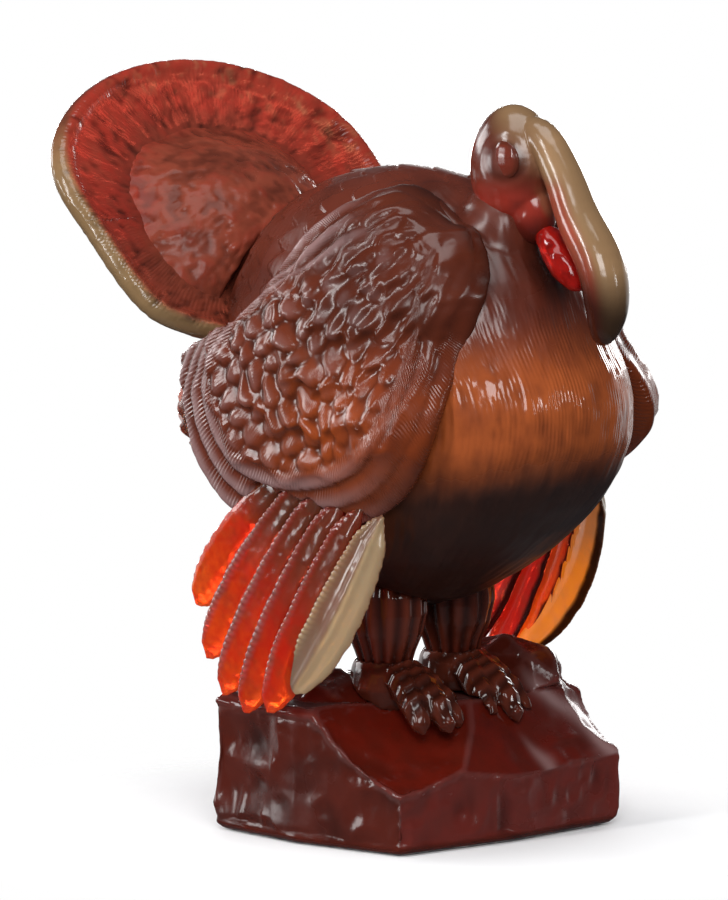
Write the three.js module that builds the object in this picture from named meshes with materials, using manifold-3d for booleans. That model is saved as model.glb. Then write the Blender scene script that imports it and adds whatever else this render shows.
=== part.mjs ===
// Strutting turkey figure in amber glass: a bird with a raised tail fan and drooped wings on a rock.
// Millimetres, +Z up. The bird faces -Y and its left side is +X.
// The origin lies on the rock's flat underside, below the bird.
import * as THREE from "three";
import { mergeVertices } from "three/addons/utils/BufferGeometryUtils.js";
import Module from "manifold-3d";

const wasm = await Module();
wasm.setup();

// Cement line left between pieces that touch.
const SEAT_GAP = 0.3;

// Rock plinth.
const ROCK_WIDTH = 62;
const ROCK_LENGTH = 54;
const ROCK_EDGE_ROUND = 3;
const STAND_HEIGHT = 26;
const CRAG_HEIGHT = 35;
const CRAG_WIDTH = 19;
const CRAG_LENGTH = 36;
const SCOOP_RADIUS = 62;
const SCOOP_DEPTH = 10;
const SCOOP_SLOPE = 33;
const SCOOP_TURN = 21;
const MOUND_HEIGHT = 31;
const MOUND_WIDTH = 27;
const MOUND_LENGTH = 25;
const LEDGE_DEPTH = 12;
const LEDGE_WIDTH = 32;
const LEDGE_LENGTH = 36;
const FRONT_CHAMFER = 9;
const FRONT_CHAMFER_ANGLE = 52;

// Legs and feet.
const LEG_LENGTH = 16;
const LEG_SPREAD = 9;
const LEG_SETBACK = -5;
const LEG_TENON = 9;
const THIGH_RADIUS = 7.5;
const SHANK_RADIUS = 5.2;
const ANKLE_HEIGHT = 11;
const TOE_LENGTH = 16;
const TOE_RADIUS = 3;
const TOE_SPLAY = 18;
const TOE_DROP = 4.8;

// Torso, measured from its widest level.
const TORSO_HALF_WIDTH = 29.5;
const TORSO_FRONT = 45.5;
const TORSO_REAR = 41;
const TORSO_BELOW = 42;
const TORSO_ABOVE = 41.5;
const TORSO_MIDDLE_Y = -5;
const BREAST_SEAM_Y = -15;

// Wing shields and flight feathers.
const SHIELD_THICKNESS = 6;
const SHIELD_EDGE = 2.8;
const SHIELD_REAR_STRETCH = 1.25;
const WRIST_BULGE = 4;
const WRIST_RADIUS = 10;
const SCALE_HEIGHT = 0.9;
const SCALE_ROWS = 6;
const SCALES_IN_ROW = 12;
const FLIGHT_FEATHERS = 6;
const FLIGHT_WIDTH = 11;
const FLIGHT_THICKNESS = 3;
const FLIGHT_BOW = 3;
const FLIGHT_FORWARD_BOW = 3.5;
const FLIGHT_STAGGER = 0.35;

// Tail.
const FAN_HALF_WIDTH = 41;
const FAN_ABOVE = 31.5;
const FAN_BELOW = 33;
const FAN_THICKNESS = 5.6;
const FAN_FACE_SHARE = 0.65;
const FAN_CUP = 3;
const FAN_LEAN = 40;
const FAN_FEATHERS = 20;
const FAN_FLUTE = 0.5;
const FAN_BEHIND = 11.5;
const FAN_DROP = 13.5;
const ROSETTE_HALF_WIDTH = 31;
const ROSETTE_HALF_HEIGHT = 26;
const ROSETTE_DEPTH = 11;
const ROSETTE_DROP = 7;
const ROSETTE_FEATHERS = 12;
const TUFT_HALF_WIDTH = 17;
const TUFT_HALF_LENGTH = 18;
const TUFT_HALF_HEIGHT = 12;
const TUFT_TILT = 12;
const TUFT_DROP = 10;
const TUFT_SINK = 2;

// Neck and head.
const NECK_RADIUS = 8.5;
const NECK_LENGTH = 22;
const HEAD_AHEAD = 25;
const HEAD_ABOVE = 2.5;
const HEAD_HALF_WIDTH = 7.6;
const HEAD_HALF_LENGTH = 9;
const HEAD_HALF_HEIGHT = 12;
const EYE_RADIUS = 2.3;
const SNOOD_RADIUS = 4.1;
const WATTLE_LENGTH = 20;
const WATTLE_DEPTH = 12;
const WATTLE_WIDTH = 9;
const WATTLE_TILT = 30;
const WATTLE_AHEAD = 13.5;
const WATTLE_BELOW = 15;

// Places that follow from the sizes above.
const BELLY_Z = STAND_HEIGHT + LEG_LENGTH;
const TORSO_MIDDLE_Z = BELLY_Z + TORSO_BELOW;
const BACK_Z = TORSO_MIDDLE_Z + TORSO_ABOVE;
const REAR_Y = TORSO_MIDDLE_Y + TORSO_REAR;
const FAN_CENTRE = new THREE.Vector3(0, REAR_Y + FAN_BEHIND, BACK_Z - FAN_DROP);
const HEAD_CENTRE = new THREE.Vector3(0, TORSO_MIDDLE_Y - HEAD_AHEAD, BACK_Z + HEAD_ABOVE);

const FULL_TURN = 2 * Math.PI;
const MERGE_DISTANCE = 1e-4;
const FAR = 400;
const ACROSS = new THREE.Vector3(1, 0, 0);
const radians = THREE.MathUtils.degToRad;
const mix = THREE.MathUtils.lerp;

function signedPower(value, power) {
  return Math.sign(value) * Math.abs(value) ** power;
}

// A closed surface made of rings. corner(ring, step) gives each corner. The first and last rings are points.
function ringSurface(ringCount, stepCount, corner) {
  const corners = [corner(0, 0)];
  for (let ring = 1; ring < ringCount; ring++) {
    for (let step = 0; step < stepCount; step++) {
      corners.push(corner(ring, step));
    }
  }
  corners.push(corner(ringCount, 0));
  const last = corners.length - 1;
  const at = (ring, step) => 1 + (ring - 1) * stepCount + (step % stepCount);
  const faces = [];
  for (let step = 0; step < stepCount; step++) {
    faces.push(0, at(1, step), at(1, step + 1));
    for (let ring = 1; ring < ringCount - 1; ring++) {
      faces.push(at(ring, step), at(ring + 1, step), at(ring + 1, step + 1));
      faces.push(at(ring, step), at(ring + 1, step + 1), at(ring, step + 1));
    }
    faces.push(at(ringCount - 1, step), last, at(ringCount - 1, step + 1));
  }
  const geometry = new THREE.BufferGeometry().setFromPoints(corners);
  geometry.setIndex(faces);
  return geometry;
}

function turnFaces(geometry) {
  const index = geometry.getIndex();
  for (let face = 0; face < index.count; face += 3) {
    const second = index.getX(face + 1);
    index.setX(face + 1, index.getX(face + 2));
    index.setX(face + 2, second);
  }
}

// The solid inside a closed geometry, with its faces outward.
function solidOf(geometry) {
  const bare = new THREE.BufferGeometry();
  bare.setAttribute("position", geometry.getAttribute("position"));
  bare.setIndex(geometry.getIndex());
  const merged = mergeVertices(bare, MERGE_DISTANCE);
  const make = () =>
    new wasm.Manifold(
      new wasm.Mesh({
        numProp: 3,
        vertProperties: new Float32Array(merged.getAttribute("position").array),
        triVerts: new Uint32Array(merged.getIndex().array),
      }),
    );
  const solid = make();
  if (solid.volume() > 0) {
    return solid;
  }
  turnFaces(merged);
  return make();
}

function geometryOf(solid) {
  const mesh = solid.getMesh();
  const geometry = new THREE.BufferGeometry();
  geometry.setAttribute("position", new THREE.BufferAttribute(mesh.vertProperties, 3));
  geometry.setIndex(new THREE.BufferAttribute(mesh.triVerts, 1));
  geometry.computeVertexNormals();
  return geometry;
}

// A solid less its cutters, without the crumbs that a cut can leave.
function cut(solid, ...cutters) {
  const rest = cutters.reduce((left, cutter) => left.subtract(cutter), solid);
  const bodies = rest.decompose();
  bodies.sort((first, second) => second.volume() - first.volume());
  return bodies[0];
}

function mirrored(solid) {
  return solid.mirror([1, 0, 0]);
}

function withMirror(solid) {
  return solid.add(mirrored(solid));
}

// The room that a solid takes up when it is shifted by a gap to every side and upwards.
function roomAround(solid) {
  const shifts = [
    [SEAT_GAP, 0, 0],
    [-SEAT_GAP, 0, 0],
    [0, SEAT_GAP, 0],
    [0, -SEAT_GAP, 0],
    [0, 0, SEAT_GAP],
  ];
  return shifts.reduce((room, shift) => room.add(solid.translate(shift)), solid);
}

// A ball stretched to three half sizes.
function ellipsoid(halfX, halfY, halfZ, steps, rings) {
  return new THREE.SphereGeometry(1, steps, rings).scale(halfX, halfY, halfZ);
}

// A bar with round ends along a curve in the middle plane. radiusAt gives its radius along the length.
function roundBar(curve, radiusAt, ringCount, stepCount) {
  const endPower = 5;
  return ringSurface(ringCount, stepCount, (ring, step) => {
    const share = (1 - Math.cos((Math.PI * ring) / ringCount)) / 2;
    const centre = curve.getPoint(share);
    const upward = new THREE.Vector3().crossVectors(ACROSS, curve.getTangent(share)).normalize();
    const angle = (FULL_TURN * step) / stepCount;
    const roundEnd = Math.sqrt(Math.max(0, 1 - Math.abs(2 * share - 1) ** endPower));
    const radius = radiusAt(share) * roundEnd;
    centre.addScaledVector(ACROSS, radius * Math.cos(angle));
    return centre.addScaledVector(upward, radius * Math.sin(angle));
  });
}

// Torso: an oval plan whose side, front and rear reach shrink towards the belly and the back.
const TORSO_RINGS = 20;
const TORSO_STEPS = 32;
const PLAN_POWER_LOW = 2.4;
const PLAN_POWER_TOP = 1.7;
const SIDE_SHRINK = { above: 2.3, below: 3, root: 0.65 };
const FRONT_SHRINK = { above: 1.7, below: 2, root: 0.85 };
const REAR_SHRINK = { above: 3.2, below: 2.2, root: 0.8 };

function planPower(z) {
  const rise = (z - TORSO_MIDDLE_Z) / TORSO_ABOVE;
  return mix(PLAN_POWER_LOW, PLAN_POWER_TOP, THREE.MathUtils.clamp(rise, 0, 1));
}

function shrink(z, powers) {
  if (z >= TORSO_MIDDLE_Z) {
    const rise = Math.min(1, (z - TORSO_MIDDLE_Z) / TORSO_ABOVE);
    return Math.sqrt(1 - rise ** powers.above);
  }
  const drop = Math.min(1, (TORSO_MIDDLE_Z - z) / TORSO_BELOW);
  return (1 - drop ** powers.below) ** powers.root;
}

function torsoReach(z) {
  return {
    side: TORSO_HALF_WIDTH * shrink(z, SIDE_SHRINK),
    front: TORSO_FRONT * shrink(z, FRONT_SHRINK),
    rear: TORSO_REAR * shrink(z, REAR_SHRINK),
  };
}

function torsoGeometry(grow) {
  return ringSurface(TORSO_RINGS, TORSO_STEPS, (ring, step) => {
    const level = Math.cos((Math.PI * ring) / TORSO_RINGS);
    const depth = level > 0 ? TORSO_ABOVE : TORSO_BELOW;
    const z = TORSO_MIDDLE_Z + depth * level;
    const reach = torsoReach(z);
    const power = 2 / planPower(z);
    const angle = (FULL_TURN * step) / TORSO_STEPS;
    const sideShare = signedPower(Math.cos(angle), power);
    const lengthShare = signedPower(Math.sin(angle), power);
    const length = lengthShare < 0 ? reach.front : reach.rear;
    const spread = ring % TORSO_RINGS === 0 ? 0 : grow;
    return new THREE.Vector3(
      (reach.side + spread) * sideShare,
      TORSO_MIDDLE_Y + (length + spread) * lengthShare,
      TORSO_MIDDLE_Z + (depth + grow) * level,
    );
  });
}

// Half width of the torso at a place on its side view, with its rear drawn out by a factor.
function torsoSide(y, z, stretch) {
  const reach = torsoReach(z);
  const length = y < TORSO_MIDDLE_Y ? reach.front : reach.rear * stretch;
  const share = Math.min(0.999, Math.abs(y - TORSO_MIDDLE_Y) / Math.max(length, 0.1));
  return reach.side * (1 - share ** planPower(z)) ** (1 / planPower(z));
}

// Point at a height over the left side of the torso, with the torso's rear drawn out by a factor.
function overTorso(y, z, height, stretch) {
  const probe = 0.2;
  const slopeY = (torsoSide(y + probe, z, stretch) - torsoSide(y - probe, z, stretch)) / (2 * probe);
  const slopeZ = (torsoSide(y, z + probe, stretch) - torsoSide(y, z - probe, stretch)) / (2 * probe);
  const outward = new THREE.Vector3(1, -slopeY, -slopeZ).normalize();
  return new THREE.Vector3(torsoSide(y, z, stretch), y, z).addScaledVector(outward, height);
}

// Places on the wing's side view are shares of the torso's front or rear reach and of its height.
const SHIELD_OUTLINE = [
  [-0.46, 0.79],
  [-0.65, 0.57],
  [-0.68, 0.22],
  [-0.6, -0.15],
  [-0.42, -0.4],
  [-0.16, -0.53],
  [0.38, -0.55],
  [0.72, -0.4],
  [0.82, -0.12],
  [0.89, 0.04],
  [0.84, 0.14],
  [0.56, 0.24],
  [0.27, 0.48],
  [0.08, 0.78],
  [-0.08, 0.9],
  [-0.25, 0.9],
];
const SHOULDER = [-0.42, 0.66];
const WRIST = [-0.54, -0.1];
const FLIGHT_ROOT_FRONT = [-0.4, -0.42];
const FLIGHT_ROOT_REAR = [0.06, -0.28];

function onSideView([lengthShare, heightShare]) {
  const length = lengthShare < 0 ? TORSO_FRONT : TORSO_REAR;
  const height = heightShare < 0 ? TORSO_BELOW : TORSO_ABOVE;
  const y = TORSO_MIDDLE_Y + length * lengthShare;
  return new THREE.Vector3(0, y, TORSO_MIDDLE_Z + height * heightShare);
}

// Left wing shield: rows of scales step down outwards from the shoulder, and each row's edge is scalloped.
function shieldGeometry(grow) {
  const stepsPerScale = 4;
  const scallopReach = 0.05;
  const stepWidth = 0.02;
  const outline = new THREE.CatmullRomCurve3(SHIELD_OUTLINE.map(onSideView), true);
  const shoulder = onSideView(SHOULDER);
  const wrist = onSideView(WRIST);
  const stepCount = SCALES_IN_ROW * stepsPerScale;
  const rims = outline.getSpacedPoints(stepCount);
  const ringCount = 2 * SCALE_ROWS + 1;
  return ringSurface(ringCount, stepCount, (ring, step) => {
    if (ring === ringCount) {
      return overTorso(shoulder.y, shoulder.z, -SHIELD_THICKNESS, 1);
    }
    const row = Math.ceil(ring / 2);
    const onScale = ring % 2 === 1 || ring === 0;
    const shift = row % 2 === 0 ? 0 : stepsPerScale / 2;
    const scallop = Math.abs(Math.cos((Math.PI * (step + shift)) / stepsPerScale));
    const wave = row < SCALE_ROWS ? scallopReach * scallop : 0;
    const edge = onScale ? stepWidth : 0;
    const share = ring === 0 ? 0 : Math.min(1, row / SCALE_ROWS - wave - edge);
    const outgrowth = (grow * share) / shoulder.distanceTo(rims[step]);
    const place = shoulder.clone().lerp(rims[step], share + outgrowth);
    const dome = Math.sqrt(Math.max(0, 1 - share ** 4));
    const bulge = WRIST_BULGE * Math.exp(-((place.distanceTo(wrist) / WRIST_RADIUS) ** 2));
    const relief = onScale ? 0 : -SCALE_HEIGHT;
    const height = mix(SHIELD_EDGE, SHIELD_THICKNESS, dome) + bulge + relief + grow;
    return overTorso(place.y, place.z, height, SHIELD_REAR_STRETCH);
  });
}

// Tips of the flight feathers: distance out from the torso's side, place along Y and height over the stand.
const FLIGHT_TIPS = [
  [2.5, -5.5, 3],
  [5.5, 15, -12],
  [0.5, 27, 16],
];

function flightSpine(number) {
  const bendShare = 0.45;
  const share = number / (FLIGHT_FEATHERS - 1);
  const rootPlace = onSideView(FLIGHT_ROOT_FRONT).lerp(onSideView(FLIGHT_ROOT_REAR), share);
  const stagger = FLIGHT_STAGGER * number;
  const root = overTorso(rootPlace.y, rootPlace.z, 0.4 * SHIELD_THICKNESS - stagger, 1);
  const places = FLIGHT_TIPS.map(([out, y, z]) => [TORSO_HALF_WIDTH + out, y, STAND_HEIGHT + z]);
  const tips = places.map((place) => new THREE.Vector3(...place));
  const tip = new THREE.QuadraticBezierCurve3(...tips).getPoint(share);
  tip.x -= stagger;
  const bend = root.clone().lerp(tip, bendShare);
  bend.x += FLIGHT_BOW;
  bend.y -= FLIGHT_FORWARD_BOW * (1 - share);
  return new THREE.QuadraticBezierCurve3(root, bend, tip);
}

// Half width of a leaf blade along its length, as a share of its widest place.
function leafShare(share) {
  const widest = 0.6;
  const rootWidth = 0.45;
  const tipPower = 2.4;
  if (share < widest) {
    return mix(rootWidth, 1, Math.sin((Math.PI / 2) * (share / widest)));
  }
  return Math.sqrt(Math.max(0, 1 - ((share - widest) / (1 - widest)) ** tipPower));
}

// Left flight feather: a leaf blade that spreads from under the shield's lower edge.
function flightGeometry(number, grow) {
  const ringCount = 8;
  const stepCount = 8;
  const ringPower = 1.4;
  const tipThinning = 0.6;
  const spine = flightSpine(number);
  const outward = new THREE.Vector3(1, -0.25, 0.1).normalize();
  return ringSurface(ringCount, stepCount, (ring, step) => {
    const along = 1 - (1 - ring / ringCount) ** ringPower;
    const centre = spine.getPoint(along);
    const tangent = spine.getTangent(along);
    if (ring === 0 || ring === ringCount) {
      return centre.addScaledVector(tangent, ring === 0 ? -grow : grow);
    }
    const across = new THREE.Vector3().crossVectors(outward, tangent).normalize();
    const face = new THREE.Vector3().crossVectors(tangent, across);
    const angle = (FULL_TURN * step) / stepCount;
    const width = (FLIGHT_WIDTH / 2) * leafShare(along) + grow;
    const thickness = (FLIGHT_THICKNESS / 2) * mix(1, tipThinning, along) + grow;
    centre.addScaledVector(across, width * Math.cos(angle));
    return centre.addScaledVector(face, thickness * Math.sin(angle));
  });
}

// Tail frame: the fan's face looks along +Z of this frame and its upper rim lies along +Y.
function tailMatrix() {
  const turn = new THREE.Matrix4().makeRotationX(radians(90 - FAN_LEAN));
  return turn.setPosition(FAN_CENTRE);
}

// Fan section from the middle of its face, over the rolled rim, to the middle of its back: share of the way
// to the rim, height as a share of half the thickness, and share of the flutes.
const FAN_SECTION = [
  [0, FAN_FACE_SHARE, 0],
  [0.45, FAN_FACE_SHARE, 0.4],
  [0.82, FAN_FACE_SHARE, 1],
  [0.9, 1, 0],
  [0.97, 0.75, 0],
  [1, 0, 0],
  [0.97, -0.75, 0],
  [0.88, -1, 0],
  [0.55, -0.7, 0.6],
  [0, -0.7, 0],
];

// The fan is cupped and fluted. The room that it takes up has no flutes and is grown by a gap.
function fanGeometry(grow) {
  const stepCount = FAN_FEATHERS * 3;
  const fan = ringSurface(FAN_SECTION.length - 1, stepCount, (ring, step) => {
    const [share, level, flute] = FAN_SECTION[ring];
    const angle = (FULL_TURN * step) / stepCount;
    const ridge = grow > 0 ? 1 : Math.cos(FAN_FEATHERS * angle);
    const relief = FAN_FLUTE * flute * ridge + grow;
    const cup = FAN_CUP * share ** 2;
    const spread = share === 0 ? 0 : grow;
    const reach = Math.sin(angle) < 0 ? FAN_BELOW : FAN_ABOVE;
    return new THREE.Vector3(
      (FAN_HALF_WIDTH * share + spread) * Math.cos(angle),
      (reach * share + spread) * Math.sin(angle),
      cup + (FAN_THICKNESS / 2) * level + Math.sign(level) * relief,
    );
  });
  return fan.applyMatrix4(tailMatrix());
}

// Rosette of short feathers over the root of the fan: a lens that runs out onto the fan's face.
function rosetteGeometry() {
  const ringCount = 6;
  const scallopShare = 0.05;
  const swell = 1.4;
  const rim = FAN_FACE_SHARE * (FAN_THICKNESS / 2) + FAN_FLUTE + 2 * SEAT_GAP;
  const stepCount = ROSETTE_FEATHERS * 3;
  const rosette = ringSurface(ringCount, stepCount, (ring, step) => {
    const angle = (FULL_TURN * step) / stepCount;
    const share = Math.min(1, ring / (ringCount - 1));
    const scallop = 1 - scallopShare * share * (1 - Math.abs(Math.cos((ROSETTE_FEATHERS * angle) / 2)));
    const spread = ring === ringCount ? 0 : share * scallop;
    const x = ROSETTE_HALF_WIDTH * spread * Math.cos(angle);
    const y = ROSETTE_HALF_HEIGHT * spread * Math.sin(angle) - ROSETTE_DROP;
    const cup = FAN_CUP * ((x / FAN_HALF_WIDTH) ** 2 + (y / FAN_BELOW) ** 2);
    const top = ROSETTE_DEPTH * (1 - share ** 2) ** swell;
    const height = ring === ringCount ? -FAN_THICKNESS / 2 : cup + rim + top;
    return new THREE.Vector3(x, y, height);
  });
  return rosette.applyMatrix4(tailMatrix());
}

// Soft tuft under the tail.
function tuftGeometry() {
  const tuft = ellipsoid(TUFT_HALF_WIDTH, TUFT_HALF_LENGTH, TUFT_HALF_HEIGHT, 18, 10);
  tuft.rotateX(radians(TUFT_TILT));
  return tuft.translate(0, REAR_Y - TUFT_SINK, TORSO_MIDDLE_Z - TUFT_DROP);
}

// Neck: a cone that rises out of the breast to the head.
function neckGeometry(grow) {
  const sunk = 0.35 * HEAD_HALF_HEIGHT;
  const rootFactor = 2;
  const flare = 0.8;
  const top = new THREE.Vector3(0, HEAD_CENTRE.y, HEAD_CENTRE.z - sunk);
  const bottom = new THREE.Vector3(0, HEAD_CENTRE.y + NECK_RADIUS, top.z - NECK_LENGTH);
  const radiusAt = (share) => NECK_RADIUS * mix(rootFactor, 1, Math.min(1, share / flare) ** flare) + grow;
  return roundBar(new THREE.LineCurve3(bottom, top), radiusAt, 10, 20);
}

function headGeometry(grow) {
  const head = ellipsoid(HEAD_HALF_WIDTH + grow, HEAD_HALF_LENGTH + grow, HEAD_HALF_HEIGHT + grow, 16, 12);
  return head.translate(HEAD_CENTRE.x, HEAD_CENTRE.y, HEAD_CENTRE.z);
}

// Left eye: a bead sunk into the side of the head.
function eyeGeometry(grow) {
  const eye = new THREE.SphereGeometry(EYE_RADIUS + grow, 11, 7);
  const forward = 0.4 * HEAD_HALF_LENGTH;
  const upward = 0.21 * HEAD_HALF_HEIGHT;
  return eye.translate(HEAD_HALF_WIDTH - 0.4 * EYE_RADIUS, HEAD_CENTRE.y - forward, HEAD_CENTRE.z + upward);
}

// Snood: hangs from the brow past the throat and ends just clear of the breast. Its path is from the head.
const SNOOD_PATH = [
  [-3, 8.2],
  [-11.3, 3.4],
  [-17.8, -5],
  [-22.6, -14.2],
  [-24.2, -23],
  [-22.8, -31],
];

function snoodGeometry(grow) {
  const points = SNOOD_PATH.map(([y, z]) => new THREE.Vector3(0, HEAD_CENTRE.y + y, HEAD_CENTRE.z + z));
  const swelling = 0.12;
  const radiusAt = (share) => SNOOD_RADIUS * (1 + swelling * Math.sin(FULL_TURN * (share - 0.45))) + grow;
  return roundBar(new THREE.CatmullRomCurve3(points), radiusAt, 15, 14);
}

// Wattle: a lobe between the throat and the snood.
function wattleGeometry() {
  const wattle = ellipsoid(WATTLE_WIDTH / 2, WATTLE_DEPTH / 2, WATTLE_LENGTH / 2, 14, 10);
  wattle.rotateX(radians(WATTLE_TILT));
  return wattle.translate(0, HEAD_CENTRE.y - WATTLE_AHEAD, HEAD_CENTRE.z - WATTLE_BELOW);
}

// Left leg: a feathered thigh on a shank, with a tenon in the belly and one in the foot.
function legGeometry(grow) {
  const shankTaper = 1;
  const thighTaper = 2;
  const low = STAND_HEIGHT + 0.4 * ANKLE_HEIGHT;
  const high = BELLY_Z + LEG_TENON;
  const profile = new THREE.SplineCurve([
    new THREE.Vector2(SHANK_RADIUS - shankTaper, low),
    new THREE.Vector2(SHANK_RADIUS, mix(low, high, 0.2)),
    new THREE.Vector2(THIGH_RADIUS, mix(low, high, 0.5)),
    new THREE.Vector2(THIGH_RADIUS, mix(low, high, 0.8)),
    new THREE.Vector2(THIGH_RADIUS - thighTaper, high),
  ]);
  const outline = profile.getPoints(7).map((point) => new THREE.Vector2(point.x + grow, point.y));
  outline[0].y = low - grow;
  outline[outline.length - 1].y = high + grow;
  outline.unshift(new THREE.Vector2(0, low - grow));
  outline.push(new THREE.Vector2(0, high + grow));
  const leg = new THREE.LatheGeometry(outline, 16);
  return leg.rotateX(Math.PI / 2).translate(LEG_SPREAD, LEG_SETBACK, 0);
}

// A toe that drops from the ankle to the rock, turned by an angle from straight ahead.
function toeSolid(angle, length) {
  const start = 0.55 * ANKLE_HEIGHT;
  const rooted = 0.7 * TOE_RADIUS;
  const curve = new THREE.QuadraticBezierCurve3(
    new THREE.Vector3(0, rooted, start),
    new THREE.Vector3(0, -0.6 * length, start),
    new THREE.Vector3(0, -length, -TOE_DROP),
  );
  const radiusAt = (share) => TOE_RADIUS * mix(1.3, 0.8, share);
  return solidOf(roundBar(curve, radiusAt, 6, 8).rotateZ(radians(angle)));
}

// Left foot: an ankle with three toes forward and a short one behind.
function footSolid() {
  const cuff = 1.9;
  const halfHeight = 0.8 * ANKLE_HEIGHT;
  const ankle = ellipsoid(SHANK_RADIUS + cuff, SHANK_RADIUS + cuff, halfHeight, 14, 10);
  ankle.translate(0, 0, ANKLE_HEIGHT - halfHeight);
  const foot = solidOf(ankle)
    .add(toeSolid(-TOE_SPLAY, TOE_LENGTH))
    .add(toeSolid(0, 1.1 * TOE_LENGTH))
    .add(toeSolid(TOE_SPLAY, TOE_LENGTH))
    .add(toeSolid(180, 0.5 * TOE_LENGTH));
  return foot.translate([LEG_SPREAD, LEG_SETBACK, STAND_HEIGHT]);
}

// Rock outline as shares of its width and length.
const ROCK_OUTLINE = [
  [-0.41, -0.47],
  [0.05, -0.53],
  [0.5, -0.51],
  [0.53, -0.15],
  [0.45, 0.44],
  [0, 0.48],
  [-0.44, 0.42],
  [-0.47, 0],
];

function rockBlock() {
  const corners = ROCK_OUTLINE.map(([x, y]) => new THREE.Vector2(x * ROCK_WIDTH, y * ROCK_LENGTH));
  const block = new THREE.ExtrudeGeometry(new THREE.Shape(corners), {
    depth: STAND_HEIGHT - 2 * ROCK_EDGE_ROUND,
    bevelSize: ROCK_EDGE_ROUND,
    bevelOffset: -ROCK_EDGE_ROUND,
    bevelThickness: ROCK_EDGE_ROUND,
    bevelSegments: 3,
  });
  return solidOf(block.translate(0, 0, ROCK_EDGE_ROUND));
}

// A bowl over the left front corner whose rim lies above the rock.
function ledgeSolid() {
  const overhang = 2;
  const rise = 1.6 * LEDGE_DEPTH;
  const hollow = ellipsoid(LEDGE_WIDTH / 2, LEDGE_LENGTH / 2, LEDGE_DEPTH + rise, 22, 16);
  hollow.translate(ROCK_WIDTH / 2 + overhang, -ROCK_LENGTH / 2 - overhang, STAND_HEIGHT + rise);
  return solidOf(hollow);
}

// A wide shallow scoop that slopes down to the right front corner.
function scoopSolid() {
  const middle = new THREE.Vector3(-0.34 * ROCK_WIDTH, -0.32 * ROCK_LENGTH, STAND_HEIGHT - SCOOP_DEPTH);
  const upward = new THREE.Vector3(0, 0, 1);
  upward.applyAxisAngle(ACROSS, radians(SCOOP_SLOPE));
  upward.applyAxisAngle(new THREE.Vector3(0, 0, 1), -radians(SCOOP_TURN));
  const centre = middle.addScaledVector(upward, SCOOP_RADIUS);
  const ball = new THREE.SphereGeometry(SCOOP_RADIUS, 44, 32);
  return solidOf(ball.translate(centre.x, centre.y, centre.z));
}

// A faceted crag on the bird's left, under the tips of that wing.
function cragSolid() {
  const footRoom = 2;
  const overhang = 1;
  const halfHeight = (CRAG_HEIGHT - footRoom) / 2;
  const crag = new THREE.IcosahedronGeometry(1, 1).rotateZ(0.4);
  crag.scale(CRAG_WIDTH / 2, CRAG_LENGTH / 2, halfHeight);
  crag.translate((ROCK_WIDTH - CRAG_WIDTH) / 2 + overhang, LEG_SETBACK - overhang, CRAG_HEIGHT - halfHeight);
  return solidOf(crag);
}

// A low mound of rock behind the right leg.
function moundSolid() {
  const footRoom = 2;
  const behindLeg = 8;
  const halfHeight = (MOUND_HEIGHT - footRoom) / 2;
  const mound = ellipsoid(MOUND_WIDTH / 2, MOUND_LENGTH / 2, halfHeight, 12, 8);
  return solidOf(mound.translate(-MOUND_WIDTH / 2, LEG_SETBACK + behindLeg, MOUND_HEIGHT - halfHeight));
}

// A slope that takes the front edge off the stand.
function chamferSolid() {
  const wedge = new THREE.BoxGeometry(FAR, FAR, FAR).translate(0, -FAR / 2, FAR / 2);
  wedge.rotateX(radians(FRONT_CHAMFER_ANGLE));
  return solidOf(wedge.translate(0, FRONT_CHAMFER - ROCK_LENGTH / 2, STAND_HEIGHT));
}

// Rock: a block with a crag on the left, a mound behind, a scooped right front and a ledged left front.
function rockSolid() {
  const heap = rockBlock().add(cragSolid()).add(moundSolid());
  return cut(heap, chamferSolid(), scoopSolid(), ledgeSolid());
}

// Whole solids, and the room that each takes up, which its neighbours are trimmed by.
const rock = rockSolid();
const rockRoom = roomAround(rock);
const torso = solidOf(torsoGeometry(0));
const torsoRoom = solidOf(torsoGeometry(SEAT_GAP));
const neckRoom = solidOf(neckGeometry(SEAT_GAP));
const legRooms = withMirror(solidOf(legGeometry(SEAT_GAP)));
const fanRoom = solidOf(fanGeometry(SEAT_GAP));
const frontBox = new THREE.BoxGeometry(FAR, FAR, FAR).translate(0, BREAST_SEAM_Y - FAR / 2, 0);
const ahead = solidOf(frontBox);
const behindBox = new THREE.BoxGeometry(FAR, FAR, FAR).translate(0, 0, -FAR / 2);
const behindFan = solidOf(behindBox.applyMatrix4(tailMatrix()));

const BODY_GLASS = 0x5f2d23;
const FEATHER_GLASS = 0xc8401e;
const SNOOD_GLASS = 0x9a8468;
const WATTLE_GLASS = 0xb0141a;
const ROCK_GLASS = 0x46140c;
const EYE_GLASS = 0x140a08;

function addPiece(group, name, solid, colour) {
  const material = new THREE.MeshStandardMaterial({ color: colour, roughness: 0.2, metalness: 0 });
  const mesh = new THREE.Mesh(geometryOf(solid), material);
  mesh.name = name;
  group.add(mesh);
}

// Adds a piece of the left side and its mirror image, each trimmed by the rock.
function addPair(group, name, solid, colour) {
  addPiece(group, "left_" + name, cut(solid, rockRoom), colour);
  addPiece(group, "right_" + name, cut(mirrored(solid), rockRoom), colour);
}

function stand() {
  const group = new THREE.Group();
  addPiece(group, "rock_base", rock, ROCK_GLASS);
  addPair(group, "foot", cut(footSolid(), legRooms), BODY_GLASS);
  addPair(group, "leg", solidOf(legGeometry(0)), BODY_GLASS);
  return group;
}

function body() {
  const group = new THREE.Group();
  const seam = ahead.translate([0, SEAT_GAP, 0]);
  addPiece(group, "torso", cut(torso, seam, fanRoom, legRooms), BODY_GLASS);
  const neck = solidOf(neckGeometry(0));
  addPiece(group, "breast", cut(torso.add(neck).intersect(ahead), legRooms), BODY_GLASS);
  return group;
}

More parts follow.
